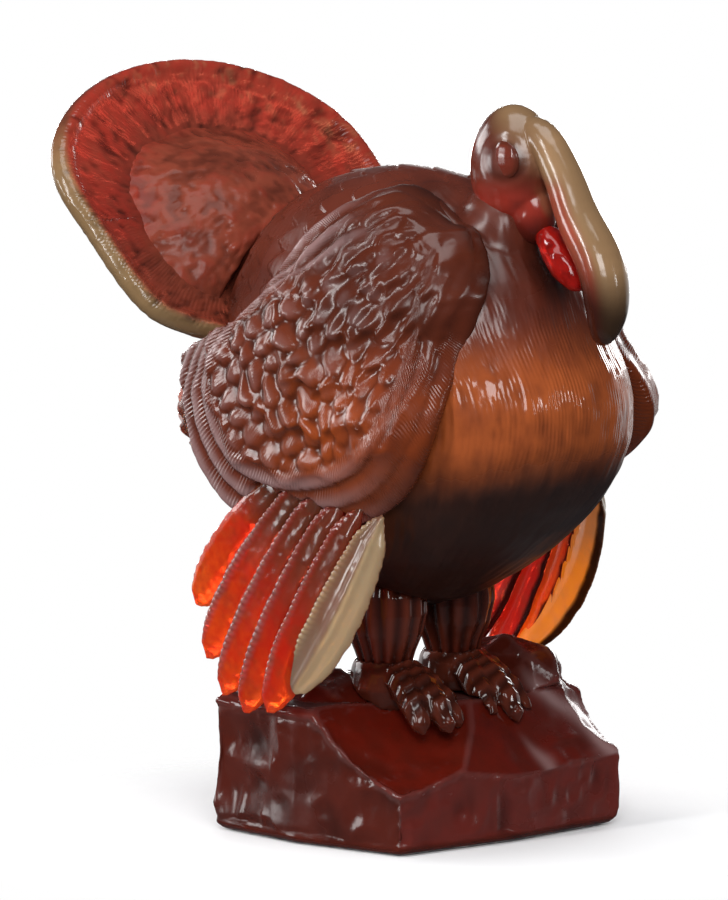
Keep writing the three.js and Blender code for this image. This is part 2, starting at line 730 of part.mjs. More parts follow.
function wings() {
  const group = new THREE.Group();
  const rooms = [];
  for (let number = 0; number < FLIGHT_FEATHERS; number++) {
    const blade = cut(solidOf(flightGeometry(number, 0)), torsoRoom, ...rooms.slice(-2));
    addPair(group, "flight_feather_" + (number + 1), blade, FEATHER_GLASS);
    rooms.push(solidOf(flightGeometry(number, SEAT_GAP)));
  }
  const shield = cut(solidOf(shieldGeometry(0)), torsoRoom, neckRoom, fanRoom, ...rooms);
  addPair(group, "wing_shield", shield, BODY_GLASS);
  return group;
}

function tail() {
  const group = new THREE.Group();
  const shieldRooms = withMirror(solidOf(shieldGeometry(SEAT_GAP)));
  addPiece(group, "tail_fan", solidOf(fanGeometry(0)), FEATHER_GLASS);
  const rosette = cut(solidOf(rosetteGeometry()), behindFan, fanRoom, torsoRoom, shieldRooms);
  addPiece(group, "tail_rosette", rosette, BODY_GLASS);
  const tuft = cut(solidOf(tuftGeometry()).intersect(behindFan), fanRoom, torsoRoom, shieldRooms);
  addPiece(group, "undertail_tuft", tuft, FEATHER_GLASS);
  return group;
}

function head() {
  const group = new THREE.Group();
  const headRoom = solidOf(headGeometry(SEAT_GAP));
  const eyeRooms = withMirror(solidOf(eyeGeometry(SEAT_GAP)));
  const snoodRoom = solidOf(snoodGeometry(SEAT_GAP));
  addPiece(group, "head", cut(solidOf(headGeometry(0)), neckRoom, torsoRoom, eyeRooms), BODY_GLASS);
  addPair(group, "eye", solidOf(eyeGeometry(0)), EYE_GLASS);
  addPiece(group, "snood", cut(solidOf(snoodGeometry(0)), headRoom, torsoRoom, neckRoom), SNOOD_GLASS);
  const wattle = cut(solidOf(wattleGeometry()), headRoom, torsoRoom, neckRoom, snoodRoom);
  addPiece(group, "wattle", wattle, WATTLE_GLASS);
  return group;
}

const figure = new THREE.Group();
figure.name = "turkey_figure";
figure.add(stand(), body(), wings(), tail(), head());

export default figure;
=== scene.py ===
import math

import bmesh
import bpy
import numpy as np
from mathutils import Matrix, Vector


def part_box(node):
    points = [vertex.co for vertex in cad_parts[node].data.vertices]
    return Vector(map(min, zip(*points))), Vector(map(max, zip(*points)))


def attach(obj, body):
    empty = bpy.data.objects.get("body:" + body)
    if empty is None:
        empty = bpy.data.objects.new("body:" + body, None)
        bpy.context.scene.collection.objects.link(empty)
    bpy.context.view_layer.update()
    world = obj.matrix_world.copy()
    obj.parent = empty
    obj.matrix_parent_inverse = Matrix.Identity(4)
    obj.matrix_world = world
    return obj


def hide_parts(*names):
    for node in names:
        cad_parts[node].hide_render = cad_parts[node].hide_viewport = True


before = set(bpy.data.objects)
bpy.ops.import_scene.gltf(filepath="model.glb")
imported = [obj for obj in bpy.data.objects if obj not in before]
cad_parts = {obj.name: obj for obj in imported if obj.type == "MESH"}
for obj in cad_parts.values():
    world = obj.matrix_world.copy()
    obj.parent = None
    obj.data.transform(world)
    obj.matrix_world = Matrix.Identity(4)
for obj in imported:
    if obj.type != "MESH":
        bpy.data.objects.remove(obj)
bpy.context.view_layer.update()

bl_info = {
    "name": "Glass Turkey Figure",
    "version": (1, 0, 0),
    "blender": (4, 5, 0),
    "location": "View3D > Sidebar > Turkey",
    "description": "Sculpts a strutting turkey in amber glass over its packed solids",
    "category": "Object",
}

MM = 0.001
BODY = "root"
SIDES = {"left": 1, "right": -1}
SCALE_POINT = 0.5  # how far a scale's middle stands out past its corners, as a share of its row

GLASS_IOR = 1.5
SCATTER_RADIUS = (1.0, 0.35, 0.15)
SCATTER_DEPTH = 1.5
BARB_BREAKS = 260.0
SMEAR_SCALE = 90.0
MATT_ROUGHNESS = 0.45
BLACK = (0.0, 0.0, 0.0, 1.0)
SHADE = (0.012, 0.004, 0.003, 1.0)
COLOUR = "NodeSocketColor"
VALUE = "NodeSocketFloat"


def srgb(red, green, blue):
    """Linear colour of a display colour given from 0 to 255."""
    shares = [part / 255 for part in (red, green, blue)]
    return tuple(s / 12.92 if s <= 0.04045 else ((s + 0.055) / 1.055) ** 2.4 for s in shares)


def colour_prop(name, description, red, green, blue):
    return bpy.props.FloatVectorProperty(
        name=name, description=description, default=srgb(red, green, blue), subtype="COLOR", min=0, max=1
    )


def length_prop(name, description, default):
    return bpy.props.FloatProperty(
        name=name, description=description, default=default * MM, unit="LENGTH", min=0, precision=5
    )


class TurkeySizes(bpy.types.PropertyGroup):
    """Sizes of the sculpted relief."""

    skin: length_prop("Skin grain", "Edge length of the fine skin over the body", 0.45)
    fine_skin: length_prop("Fine skin grain", "Edge length of the skin over small pieces", 0.32)
    scale_lift: length_prop("Scale lift", "Height of a wing scale", 1.25)
    breast_stroke: length_prop("Breast strokes", "Depth of the fine upright strokes on the breast", 0.11)
    back_lift: length_prop("Back scale lift", "Height of a back feather's free edge", 0.6)
    quill_height: length_prop("Quill height", "Height of the roped quill along a flight feather", 0.55)
    fan_stroke: length_prop("Fan strokes", "Depth of the barbs on the tail fan", 0.22)
    rock_chip: length_prop("Rock chips", "Depth of the hewn chips on the rock's flanks", 1.3)


class TurkeyColours(bpy.types.PropertyGroup):
    """Colours of the cast glass."""

    body: colour_prop("Body", "Brown glass of the body", 92, 40, 27)
    # Deep is also painted shade: in grooves, chips, hollows and creases, on the belly and the rock's shelf,
    # under the chin and at the snood's tip.
    deep: colour_prop("Deep", "Nearly black glass in grooves and on the belly", 26, 10, 7)
    amber: colour_prop("Amber", "Lit amber of the breast", 160, 80, 40)
    wing_warm: colour_prop("Wing warm", "Amber glow of the lower wing", 138, 60, 22)
    fan_brown: colour_prop("Fan brown", "Brown of the fan's middle", 124, 58, 42)
    fan_red: colour_prop("Fan red", "Red of the fan's outer zone", 146, 46, 34)
    fan_rim: colour_prop("Fan rim", "Pale smoky rim of the fan", 140, 112, 78)
    feather_red: colour_prop("Feather red", "Red of the flight feathers", 182, 24, 14)
    feather_root: colour_prop("Feather root", "Brown of the flight feathers' roots", 112, 58, 38)
    # Painted light: the orange of the thin tips and the backlit inner faces stands for light coming through
    # the glass.
    feather_orange: colour_prop("Feather orange", "Orange of the thin feather tips", 226, 92, 20)
    quill: colour_prop("Quill", "Smoky lavender beige of the roped quills", 150, 124, 118)
    leaf: colour_prop("Front feather", "Smoky grey of the front flight feather", 116, 94, 78)
    leaf_cream: colour_prop("Front feather cream", "Cream of that feather's fore half", 184, 160, 122)
    # Painted light: the gold of the front feather's backlit inner face.
    leaf_gold: colour_prop("Front feather gold", "Gold of that feather's inner face", 244, 130, 32)
    # Painted reflection: the lavender sheen on the wing's lower rear, and the highlights and reflection bands
    # on the rock.
    sheen: colour_prop("Sheen", "Lavender grey of the worn edges on the wing", 142, 112, 110)
    head_pale: colour_prop("Brow", "Pale honey of the brow and snood", 150, 118, 84)
    head_red: colour_prop("Cheek", "Red of the cheeks", 158, 48, 38)
    wattle: colour_prop("Wattle", "Red of the wattle", 172, 26, 20)
    rock: colour_prop("Rock", "Dark red-brown of the rock", 74, 25, 16)
    rock_red: colour_prop("Scoop", "Deep red of the rock's smooth scoop", 92, 22, 12)


def sizes():
    return bpy.context.scene.turkey_sizes


def corners(node):
    """Lowest and highest corner of a node, in millimetres."""
    return [np.array(corner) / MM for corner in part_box(node)]


def middle_of(node):
    low, high = corners(node)
    return (low + high) / 2


def ramp(value, start, end):
    """Smooth step from 0 at start to 1 at end."""
    share = np.clip((value - start) / (end - start), 0.0, 1.0)
    return share * share * (3.0 - 2.0 * share)


def window(value, start, full, fading, end):
    """Smooth step up from start to full and down again from fading to end."""
    return ramp(value, start, full) * ramp(value, end, fading)


def bell(value, middle, width):
    return np.exp(-(((value - middle) / width) ** 2))


def lattice_value(corner, seed):
    """A fixed number from 0 to 1 for each whole-numbered corner."""
    mixed = corner[:, 0] * 374761393 + corner[:, 1] * 668265263 + corner[:, 2] * 1440662683 + seed * 127412617
    mixed = (mixed ^ (mixed >> 13)) * 1103515245
    return ((mixed ^ (mixed >> 16)) & 0xFFFF) / 0xFFFF


def soft_noise(places, seed):
    """Smooth noise from -1 to 1, with one cell per unit."""
    low = np.floor(places).astype(np.int64)
    share = places - low
    share = share * share * (3.0 - 2.0 * share)
    total = np.zeros(len(places))
    for corner in np.ndindex(2, 2, 2):
        weight = np.prod(np.where(np.array(corner) == 1, share, 1.0 - share), axis=1)
        total += weight * lattice_value(low + np.array(corner), seed)
    return 2.0 * total - 1.0


def flat_noise(first, second, seed):
    return soft_noise(np.stack([first, second, np.full(len(first), 0.5)], 1), seed)


def highest(spot, values, bins):
    """Middles of even bins over spots from 0 to 1, and the highest value in each bin."""
    index = np.minimum((spot * bins).astype(int), bins - 1)
    top = np.full(bins, -np.inf)
    np.maximum.at(top, index, values)
    return (np.arange(bins) + 0.5) / bins, top


def read(items, name, width, kind=float):
    """A property of all items, as rows of a width."""
    values = np.empty(len(items) * width, dtype=kind)
    items.foreach_get(name, values)
    return values.reshape(-1, width)


class Skin:
    """A closed mesh that is shaped in steps, in millimetres, with masks that its material reads."""

    STEP_INWARDS, STEP_OUTWARDS = 0.5, -0.52

    def __init__(self, mesh):
        self.mesh = mesh
        self.points = read(mesh.vertices, "co", 3) / MM
        self.edges = read(mesh.edges, "vertices", 2, np.int32)
        self.masks = {}

    def store(self):
        self.mesh.vertices.foreach_set("co", (self.points * MM).ravel())
        self.mesh.update()

    def normals(self):
        self.store()
        return read(self.mesh.vertex_normals, "vector", 3)

    def noise(self, grain, seed):
        """Smooth noise over the skin, with cells of a grain in millimetres."""
        return soft_noise(self.points / grain, seed)

    def around(self, values):
        """Mean of each point's neighbours."""
        first, second = self.edges.T
        count = len(values)
        total = np.bincount(first, values[second], count) + np.bincount(second, values[first], count)
        return total / np.maximum(1, np.bincount(self.edges.ravel(), minlength=count))

    def smooth(self, repeats, shrinks=False, share=1.0):
        """Evens out the skin, by a share for each point. Unless it shrinks, each step inwards is followed by
        one outwards."""
        share = np.broadcast_to(share, len(self.points))[:, None]
        for repeat in range(repeats):
            factor = self.STEP_INWARDS if shrinks or repeat % 2 == 0 else self.STEP_OUTWARDS
            means = np.stack([self.around(self.points[:, axis]) for axis in range(3)], 1)
            self.points += factor * share * (means - self.points)

    def convexity(self, repeats):
        """How far each point stands out from the smoothed skin."""
        kept = self.points.copy()
        normals = self.normals()
        self.smooth(repeats, shrinks=True)
        height = ((kept - self.points) * normals).sum(1)
        self.points = kept
        return height

    def lift(self, heights):
        self.points += self.normals() * heights[:, None]

    def mask(self, name, *layers):
        """Paints the strongest of one or more layers."""
        self.masks[name] = np.clip(np.maximum.reduce(layers), 0.0, 1.0)

    def soften_masks(self):
        for name, values in self.masks.items():
            self.masks[name] = 0.5 * (values + self.around(values))

    def phase(self, values):
        """Count of barb lines from some place, which the barbs of the material follow."""
        self.masks["barb"] = values


def new_object(name, data):
    """A new object, linked into the scene."""
    item = bpy.data.objects.new(name, data)
    bpy.context.scene.collection.objects.link(item)
    return item


def wrapped(meshes, voxel):
    """One closed skin of even quads over several closed meshes."""
    joined = bmesh.new()
    for mesh in meshes:
        joined.from_mesh(mesh)
    source = bpy.data.meshes.new("wrap_source")
    joined.to_mesh(source)
    joined.free()
    holder = new_object("wrap_source", source)
    remesh = holder.modifiers.new("Wrap", "REMESH")
    remesh.mode = "VOXEL"
    remesh.voxel_size = voxel
    graph = bpy.context.evaluated_depsgraph_get()
    skin = bpy.data.meshes.new_from_object(holder.evaluated_get(graph))
    bpy.data.objects.remove(holder)
    bpy.data.meshes.remove(source)
    return Skin(skin)


def node_skin(node, voxel, repeats):
    """A skin over one solid, smoothed a number of times."""
    skin = wrapped([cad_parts[node].data], voxel)
    skin.smooth(repeats)
    return skin


def ring_mesh(first, rings, last):
    """A closed mesh from an end point, rings of points and the other end point."""
    ring_count, step_count = rings.shape[:2]
    points = np.vstack([[first], rings.reshape(-1, 3), [last]])
    faces = []
    for step in range(step_count):
        after = (step + 1) % step_count
        faces.append((0, 1 + after, 1 + step))
        for ring in range(ring_count - 1):
            here = 1 + ring * step_count
            there = here + step_count
            faces.append((here + step, here + after, there + after, there + step))
        here = 1 + (ring_count - 1) * step_count
        faces.append((here + step, here + after, len(points) - 1))
    mesh = bpy.data.meshes.new("rings")
    mesh.from_pydata((points * MM).tolist(), [], faces)
    mesh.update()
    return mesh


def curve_through(points, shares):
    """Points on a smooth curve through the given ones, at shares of its run."""
    ends = np.vstack([2 * points[0] - points[1], points, 2 * points[-1] - points[-2]])
    spot = np.clip(shares, 0.0, 1.0) * (len(points) - 1)
    index = np.minimum(spot.astype(int), len(points) - 2)
    t = (spot - index)[:, None]
    a, b, c, d = (ends[index + offset] for offset in range(4))
    return 0.5 * (2 * b + (c - a) * t + (2 * a - 5 * b + 4 * c - d) * t**2 + (3 * b - a - 3 * c + d) * t**3)


def scale_rows(share, turn, counts):
    """Overlapping rows of scales, with a count for each row. Each point gets its place across its own scale,
    from -1 to 1, and along it, up to 1 at the free edge. Inner rows lie over outer ones."""
    across = np.zeros(len(share))
    along = np.zeros(len(share))
    rows = len(counts)
    for row in reversed(range(rows)):
        phase = turn * counts[row] + 0.5 * (row % 2)
        side = 2.0 * (phase - np.floor(phase)) - 1.0
        edge = (row + 1 - SCALE_POINT * side**2) / rows
        owned = share < edge
        across[owned] = side[owned]
        along[owned] = (1.0 - (edge - share) * rows / (1.0 + SCALE_POINT))[owned]
    return across, np.clip(along, 0.0, 1.0)


def place(skin, name, node, material):
    """Makes a skin a piece that stands for a solid."""
    skin.store()
    for mask, values in skin.masks.items():
        attribute = skin.mesh.attributes.new(mask, "FLOAT", "POINT")
        attribute.data.foreach_set("value", values.astype(np.float32))
    skin.mesh.shade_smooth()
    skin.mesh.name = name
    skin.mesh.materials.clear()
    skin.mesh.materials.append(material)
    piece = new_object(name, skin.mesh)
    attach(piece, BODY)
    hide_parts(node)


def half_of(skin, point, direction, keep_front):
    """The closed half of a skin on one side of a plane."""
    half = bmesh.new()
    half.from_mesh(skin.mesh)
    for name, values in skin.masks.items():
        layer = half.verts.layers.float.new(name)
        for vert, value in zip(half.verts, values):
            vert[layer] = value
    cut = bmesh.ops.bisect_plane(
        half,
        geom=half.verts[:] + half.edges[:] + half.faces[:],
        plane_co=Vector(point) * MM,
        plane_no=Vector(direction),
        clear_inner=keep_front,
        clear_outer=not keep_front,
    )
    rim = [item for item in cut["geom_cut"] if isinstance(item, bmesh.types.BMEdge)]
    for edge in rim:
        edge.smooth = False
    caps = bmesh.ops.edgenet_fill(half, edges=rim)["faces"]
    bmesh.ops.triangulate(half, faces=caps)
    bmesh.ops.recalc_face_normals(half, faces=half.faces)
    mesh = bpy.data.meshes.new("half")
    half.to_mesh(mesh)
    half.free()
    part = Skin(mesh)
    for name in skin.masks:
        part.masks[name] = read(mesh.attributes[name].data, "value", 1, np.float32).ravel()
        mesh.attributes.remove(mesh.attributes[name])
    return part


def split(skin, point, direction):
    """The two closed halves of a skin on either side of a plane, first the one behind it."""
    skin.store()
    halves = [half_of(skin, point, direction, keep_front) for keep_front in (False, True)]
    bpy.data.meshes.remove(skin.mesh)
    return halves


class Nodes:
    """Short ways to add and link the nodes of one tree."""

    def __init__(self, tree):
        self.tree = tree

    def add(self, kind, **values):
        node = self.tree.nodes.new(kind)
        for name, value in values.items():
            setattr(node, name, value)
        return node

    def group(self, name, build):
        """A node of the group of a name, which is built on its first use."""
        return self.add("ShaderNodeGroup", node_tree=bpy.data.node_groups.get(name) or build(name))

    def fill(self, node, values):
        """Links or sets the inputs of a node by their names or numbers."""
        for name, value in values.items():
            self.link(value, node.inputs[name])

    def link(self, source, target):
        if isinstance(source, bpy.types.NodeSocket):
            self.tree.links.new(source, target)
        else:
            target.default_value = source

    def math(self, operation, first, second=0.0, third=0.5):
        node = self.add("ShaderNodeMath", operation=operation)
        self.fill(node, {0: first, 1: second, 2: third})
        return node.outputs[0]

    def mix(self, factor, first, second):
        node = self.add("ShaderNodeMix", data_type="RGBA")
        self.fill(node, {"Factor": factor, 6: first, 7: second})
        return node.outputs[2]

    def mix_shader(self, factor, first, second):
        node = self.add("ShaderNodeMixShader")
        self.fill(node, {0: factor, 1: first.outputs[0], 2: second.outputs[0]})
        return node

    def noise(self, vector, scale, detail):
        node = self.add("ShaderNodeTexNoise")
        self.fill(node, {"Vector": vector, "Scale": scale, "Detail": detail})
        return node.outputs["Fac"]

    def remap(self, value, start, end):
        node = self.add("ShaderNodeMapRange", interpolation_type="SMOOTHSTEP")
        self.fill(node, {"Value": value, "From Min": start, "From Max": end})
        return node.outputs["Result"]

    def attribute(self, name):
        return self.add("ShaderNodeAttribute", attribute_name=name).outputs["Fac"]

    def object_spot(self):
        return self.add("ShaderNodeTexCoord").outputs["Object"]

    def bump(self, height, distance, normal=None):
        node = self.add("ShaderNodeBump")
        self.fill(node, {"Distance": distance * MM, "Height": height})
        if normal:
            self.link(normal, node.inputs["Normal"])
        return node.outputs["Normal"]


def new_group(name, inputs, outputs):
    """A new shader node group with named sockets, and the sockets inside it."""
    group = bpy.data.node_groups.new(name, "ShaderNodeTree")
    for in_out, sockets in (("INPUT", inputs), ("OUTPUT", outputs)):
        for socket, kind in sockets.items():
            group.interface.new_socket(socket, in_out=in_out, socket_type=kind)
    start = group.nodes.new("NodeGroupInput")
    end = group.nodes.new("NodeGroupOutput")
    return Nodes(group), start.outputs, end.inputs


def colour_group(name):
    """Glass colour: a mottled body with painted zones, and the light that comes through thin glass."""
    zones = dict.fromkeys(("Body", "Deep", "Warm", "Pale"), COLOUR)
    masks = dict.fromkeys(("Deep Mask", "Warm Mask", "Pale Mask", "Shade Mask", "Thin Mask"), VALUE)
    mottle = dict.fromkeys(("Mottle Scale", "Mottle Amount"), VALUE)
    outputs = dict.fromkeys(("Color", "Through"), COLOUR)
    nodes, given, wanted = new_group(name, zones | masks | mottle, outputs)
    spot = nodes.object_spot()
    cloud = nodes.noise(spot, given["Mottle Scale"], 4.0)
    blotch = nodes.math("MULTIPLY", nodes.remap(cloud, 0.42, 0.72), given["Mottle Amount"])
    base = nodes.mix(blotch, given["Body"], given["Deep"])
    fleck = nodes.noise(spot, nodes.math("MULTIPLY", given["Mottle Scale"], 3.1), 3.0)
    patchy = nodes.math("MULTIPLY_ADD", nodes.remap(fleck, 0.3, 0.7), given["Mottle Amount"], 0.75)
    warm = nodes.math("MINIMUM", nodes.math("MULTIPLY", given["Warm Mask"], patchy), 1.0)
    warmed = nodes.mix(warm, base, given["Warm"])
    paled = nodes.mix(given["Pale Mask"], warmed, given["Pale"])
    darkened = nodes.mix(given["Deep Mask"], paled, given["Deep"])
    shaded = nodes.mix(given["Shade Mask"], darkened, SHADE)
    nodes.link(shaded, wanted["Color"])
    nodes.link(nodes.mix(given["Thin Mask"], BLACK, shaded), wanted["Through"])
    return nodes.tree


def polish_group(name):
    """Fire-polished surface: slow ripples, and roughness that varies with handling and in matt zones."""
    inputs = dict.fromkeys(("Roughness", "Variation", "Ripple Scale", "Matt Mask"), VALUE)
    nodes, given, wanted = new_group(name, inputs, dict.fromkeys(("Roughness", "Height"), VALUE))
    spot = nodes.object_spot()
    smear = nodes.remap(nodes.noise(spot, SMEAR_SCALE, 5.0), 0.4, 0.75)
    handled = nodes.math("ADD", given["Roughness"], nodes.math("MULTIPLY", smear, given["Variation"]))
    matt = nodes.math("MULTIPLY", given["Matt Mask"], MATT_ROUGHNESS)
    nodes.link(nodes.math("ADD", handled, matt), wanted["Roughness"])
    nodes.link(nodes.noise(spot, given["Ripple Scale"], 2.0), wanted["Height"])
    return nodes.tree


def barb_group(name):
    """Fine barbs: broken lines that follow the phase painted on a piece."""
    inputs = dict.fromkeys(("Phase", "Amount", "Break Scale"), VALUE)
    nodes, given, wanted = new_group(name, inputs, {"Height": VALUE})
    wave = nodes.math("SINE", nodes.math("MULTIPLY", given["Phase"], math.tau))
    gaps = nodes.remap(nodes.noise(nodes.object_spot(), given["Break Scale"], 2.0), 0.35, 0.6)
    broken = nodes.math("MULTIPLY", wave, gaps)
    nodes.link(nodes.math("MULTIPLY", broken, given["Amount"]), wanted["Height"])
    return nodes.tree


def glass(name, zones, mottle=(55.0, 0.5), roughness=0.09, variation=0.12, ripple=(220.0, 0.05), barb=0.0,
          transmission=0.0, scatter=0.0, shine=0.4, lit=0.0):
    """Cast glass that reads the masks of its piece. Zones name its body, deep, warm and pale colours.
    Mottle is a scale and an amount, ripple a scale and a depth, barb the depth of the barbs, and lit the
    light that comes through where the glass is thin."""
    if name in bpy.data.materials:
        return bpy.data.materials[name]
    material = bpy.data.materials.new(name)
    material.use_nodes = True
    nodes = Nodes(material.node_tree)
    shader = material.node_tree.nodes["Principled BSDF"]
    tint = nodes.group("Cast glass colour", colour_group)
    chosen = [(*getattr(bpy.context.scene.turkey_colours, zone), 1.0) for zone in zones]
    nodes.fill(tint, dict(zip(("Body", "Deep", "Warm", "Pale"), chosen)))
    nodes.fill(tint, {"Mottle Scale": mottle[0], "Mottle Amount": mottle[1]})
    for mask in ("deep", "warm", "pale", "shade"):
        nodes.link(nodes.attribute(mask), tint.inputs[mask.title() + " Mask"])
    nodes.link(tint.outputs["Color"], shader.inputs["Base Color"])
    if lit:
        nodes.link(nodes.attribute("thin"), tint.inputs["Thin Mask"])
        nodes.fill(shader, {"Emission Color": tint.outputs["Through"], "Emission Strength": lit})
    polish = nodes.group("Fire polish", polish_group)
    nodes.fill(polish, {"Roughness": roughness, "Variation": variation, "Ripple Scale": ripple[0]})
    nodes.link(nodes.attribute("matt"), polish.inputs["Matt Mask"])
    normal = nodes.bump(polish.outputs["Height"], ripple[1])
    if barb:
        lines = nodes.group("Feather barbs", barb_group)
        nodes.fill(lines, {"Phase": nodes.attribute("barb"), "Amount": nodes.attribute("comb")})
        nodes.fill(lines, {"Break Scale": BARB_BREAKS})
        normal = nodes.bump(lines.outputs["Height"], barb, normal)
    nodes.fill(shader, {
        "Roughness": polish.outputs["Roughness"],
        "Normal": normal,
        "IOR": GLASS_IOR,
        "Specular IOR Level": shine,
        "Transmission Weight": transmission,
        "Subsurface Weight": scatter,
        "Subsurface Radius": SCATTER_RADIUS,
        "Subsurface Scale": SCATTER_DEPTH * MM,
    })
    return material


def breast_glass():
    return glass("Breast glass", ("body", "deep", "amber", "head_pale"), barb=0.05)


def wing_glass():
    zones = ("body", "deep", "wing_warm", "sheen")
    return glass("Wing glass", zones, barb=0.05, roughness=0.16, shine=0.36)


def fan_glass():
    zones = ("fan_brown", "deep", "fan_red", "fan_rim")
    return glass("Fan glass", zones, mottle=(110.0, 0.45), roughness=0.14, barb=0.06, transmission=0.2,
                 lit=0.35)


def rosette_glass():
    zones = ("fan_brown", "deep", "fan_red", "fan_rim")
    return glass("Rosette glass", zones, mottle=(160.0, 0.45), roughness=0.18, shine=0.14)


def feather_glass():
    zones = ("feather_red", "feather_root", "feather_orange", "quill")
    return glass("Feather glass", zones, mottle=(240.0, 0.5), roughness=0.14, transmission=0.45, scatter=0.6,
                 shine=0.24, lit=0.5)


def leaf_glass():
    zones = ("leaf", "feather_root", "leaf_gold", "leaf_cream")
    return glass("Leaf glass", zones, mottle=(90.0, 0.25), roughness=0.1, transmission=0.1, scatter=0.2,
                 lit=0.6)


def head_glass():
    zones = ("body", "deep", "head_red", "head_pale")
    return glass("Head glass", zones, ripple=(160.0, 0.04), roughness=0.14, variation=0.04, shine=0.5)


def wattle_glass():
    zones = ("wattle", "deep", "head_red", "head_pale")
    return glass("Wattle glass", zones, mottle=(420.0, 0.4), transmission=0.3)


def rock_glass():
    zones = ("rock", "deep", "rock_red", "sheen")
    return glass("Rock glass", zones, mottle=(70.0, 0.6), roughness=0.07, variation=0.15,
                 ripple=(320.0, 0.12), shine=0.3)


def leg_glass():
    return glass("Leg glass", ("body", "deep", "rock_red", "quill"), mottle=(120.0, 0.5))


class TURKEY_OT_rock(bpy.types.Operator):
    """Sculpt the rock plinth with hewn flanks and a smooth scoop"""

    bl_idname = "turkey.rock"
    bl_label = "Rock"

    COARSER = 1.2  # grain of the rock's skin against the body's
    REAR_Y = (5.0, 20.0)
    REAR_HEWING = 1.6
    FOOT_Z = (0.0, 2.5)
    CREST_Z = (4.0, 8.0)
    CREST_LIFT = 0.2
    LEDGE = 4.2
    LEDGE_STEP = 0.25
    LEDGE_ACROSS = (34.0, 42.0, 47.0, 54.0)  # X less Y
    LEDGE_Z = (7.0, 10.0, 28.0, 31.0)
    SLOPE_ACROSS = (30.0, 38.0)
    SLOPE_Z = (9.0, 12.0, 29.0, 32.0)
    SHELF_Z = (20.0, 24.0)
    SCOOP_Z = (30.0, 24.0)
    # Strength, place and width of the painted reflection bands across the left slope
    BANDS = ((1.0, 41.5, 1.8), (0.7, 32.0, 1.1))

    def execute(self, context):
        skin = node_skin("rock_base", sizes().skin * self.COARSER, 6)
        crest = skin.convexity(12)
        self.ledges(skin)
        normals = skin.normals()
        y, z = skin.points.T[1:]
        flank = ramp(np.abs(normals[:, 2]), 0.6, 0.25)
        chips = -np.abs(skin.noise(9.0, 3)) - 0.45 * np.abs(skin.noise(3.6, 4))
        waves = 0.5 * skin.noise(8.0, 5) + 0.2 * skin.noise(3.0, 6)
        rolling = (1.0 - flank) * waves * ramp(normals[:, 2], -0.2, 0.3)
        height = sizes().rock_chip / MM * (flank * chips + rolling)
        height -= self.REAR_HEWING * np.abs(skin.noise(14.0, 9)) * flank * ramp(y, *self.REAR_Y)
        edge = ramp(crest, 0.03, 0.12) * ramp(z, *self.CREST_Z)
        skin.lift(height * ramp(z, *self.FOOT_Z) + self.CREST_LIFT * edge)
        skin.smooth(2)
        self.paint(skin, normals, flank, chips, waves, edge)
        place(skin, "rock", "rock_base", rock_glass())
        return {"FINISHED"}

    def ledges(self, skin):
        """Breaks the slope on the bird's left into low ledges."""
        x, y, z = skin.points.T
        slope = window(x - y, *self.LEDGE_ACROSS) * window(z, *self.LEDGE_Z)
        slope *= ramp(skin.normals()[:, 2], 0.1, 0.3)
        level = z / self.LEDGE + 0.6 * skin.noise(11.0, 8)
        share = level - np.floor(level)
        skin.points[:, 2] += self.LEDGE * self.LEDGE_STEP * (ramp(share, 0.45, 1.0) - share) * slope
        skin.smooth(2)

    def paint(self, skin, normals, flank, chips, waves, edge):
        """Paints the red scoop, painted shade in the chips and on the flat shelf, and painted highlights on
        the crests, a faint painted sheen on the front and painted reflection bands across the left slope.
        """
        x, y, z = skin.points.T
        up = normals[:, 2]
        fore = ramp(-normals[:, 1], 0.5, 0.85) * flank
        shelf = ramp(up, 0.93, 0.98) * ramp(z, *self.SHELF_Z)
        scoop = (1.0 - flank) * ramp(up, 0.1, 0.5) * ramp(z, *self.SCOOP_Z)
        slope = ramp(x - y, *self.SLOPE_ACROSS) * ramp(up, 0.15, 0.4) * window(z, *self.SLOPE_Z)
        fall = 0.5 * (x - y) + 0.87 * z + 2.0 * skin.noise(6.0, 10)
        bands = sum(strength * bell(fall, spot, width) for strength, spot, width in self.BANDS)
        skin.mask("warm", scoop * (0.75 + 0.5 * waves), 0.8 * fore)
        skin.mask("deep", 0.6 * ramp(chips, -0.5, -1.2) * flank, 0.5 * shelf)
        skin.mask("pale", 0.1 * edge, 0.05 * fore, 0.85 * slope * np.minimum(bands, 1.0))
        skin.mask("matt", shelf, 0.3 * flank, 0.35 * slope)


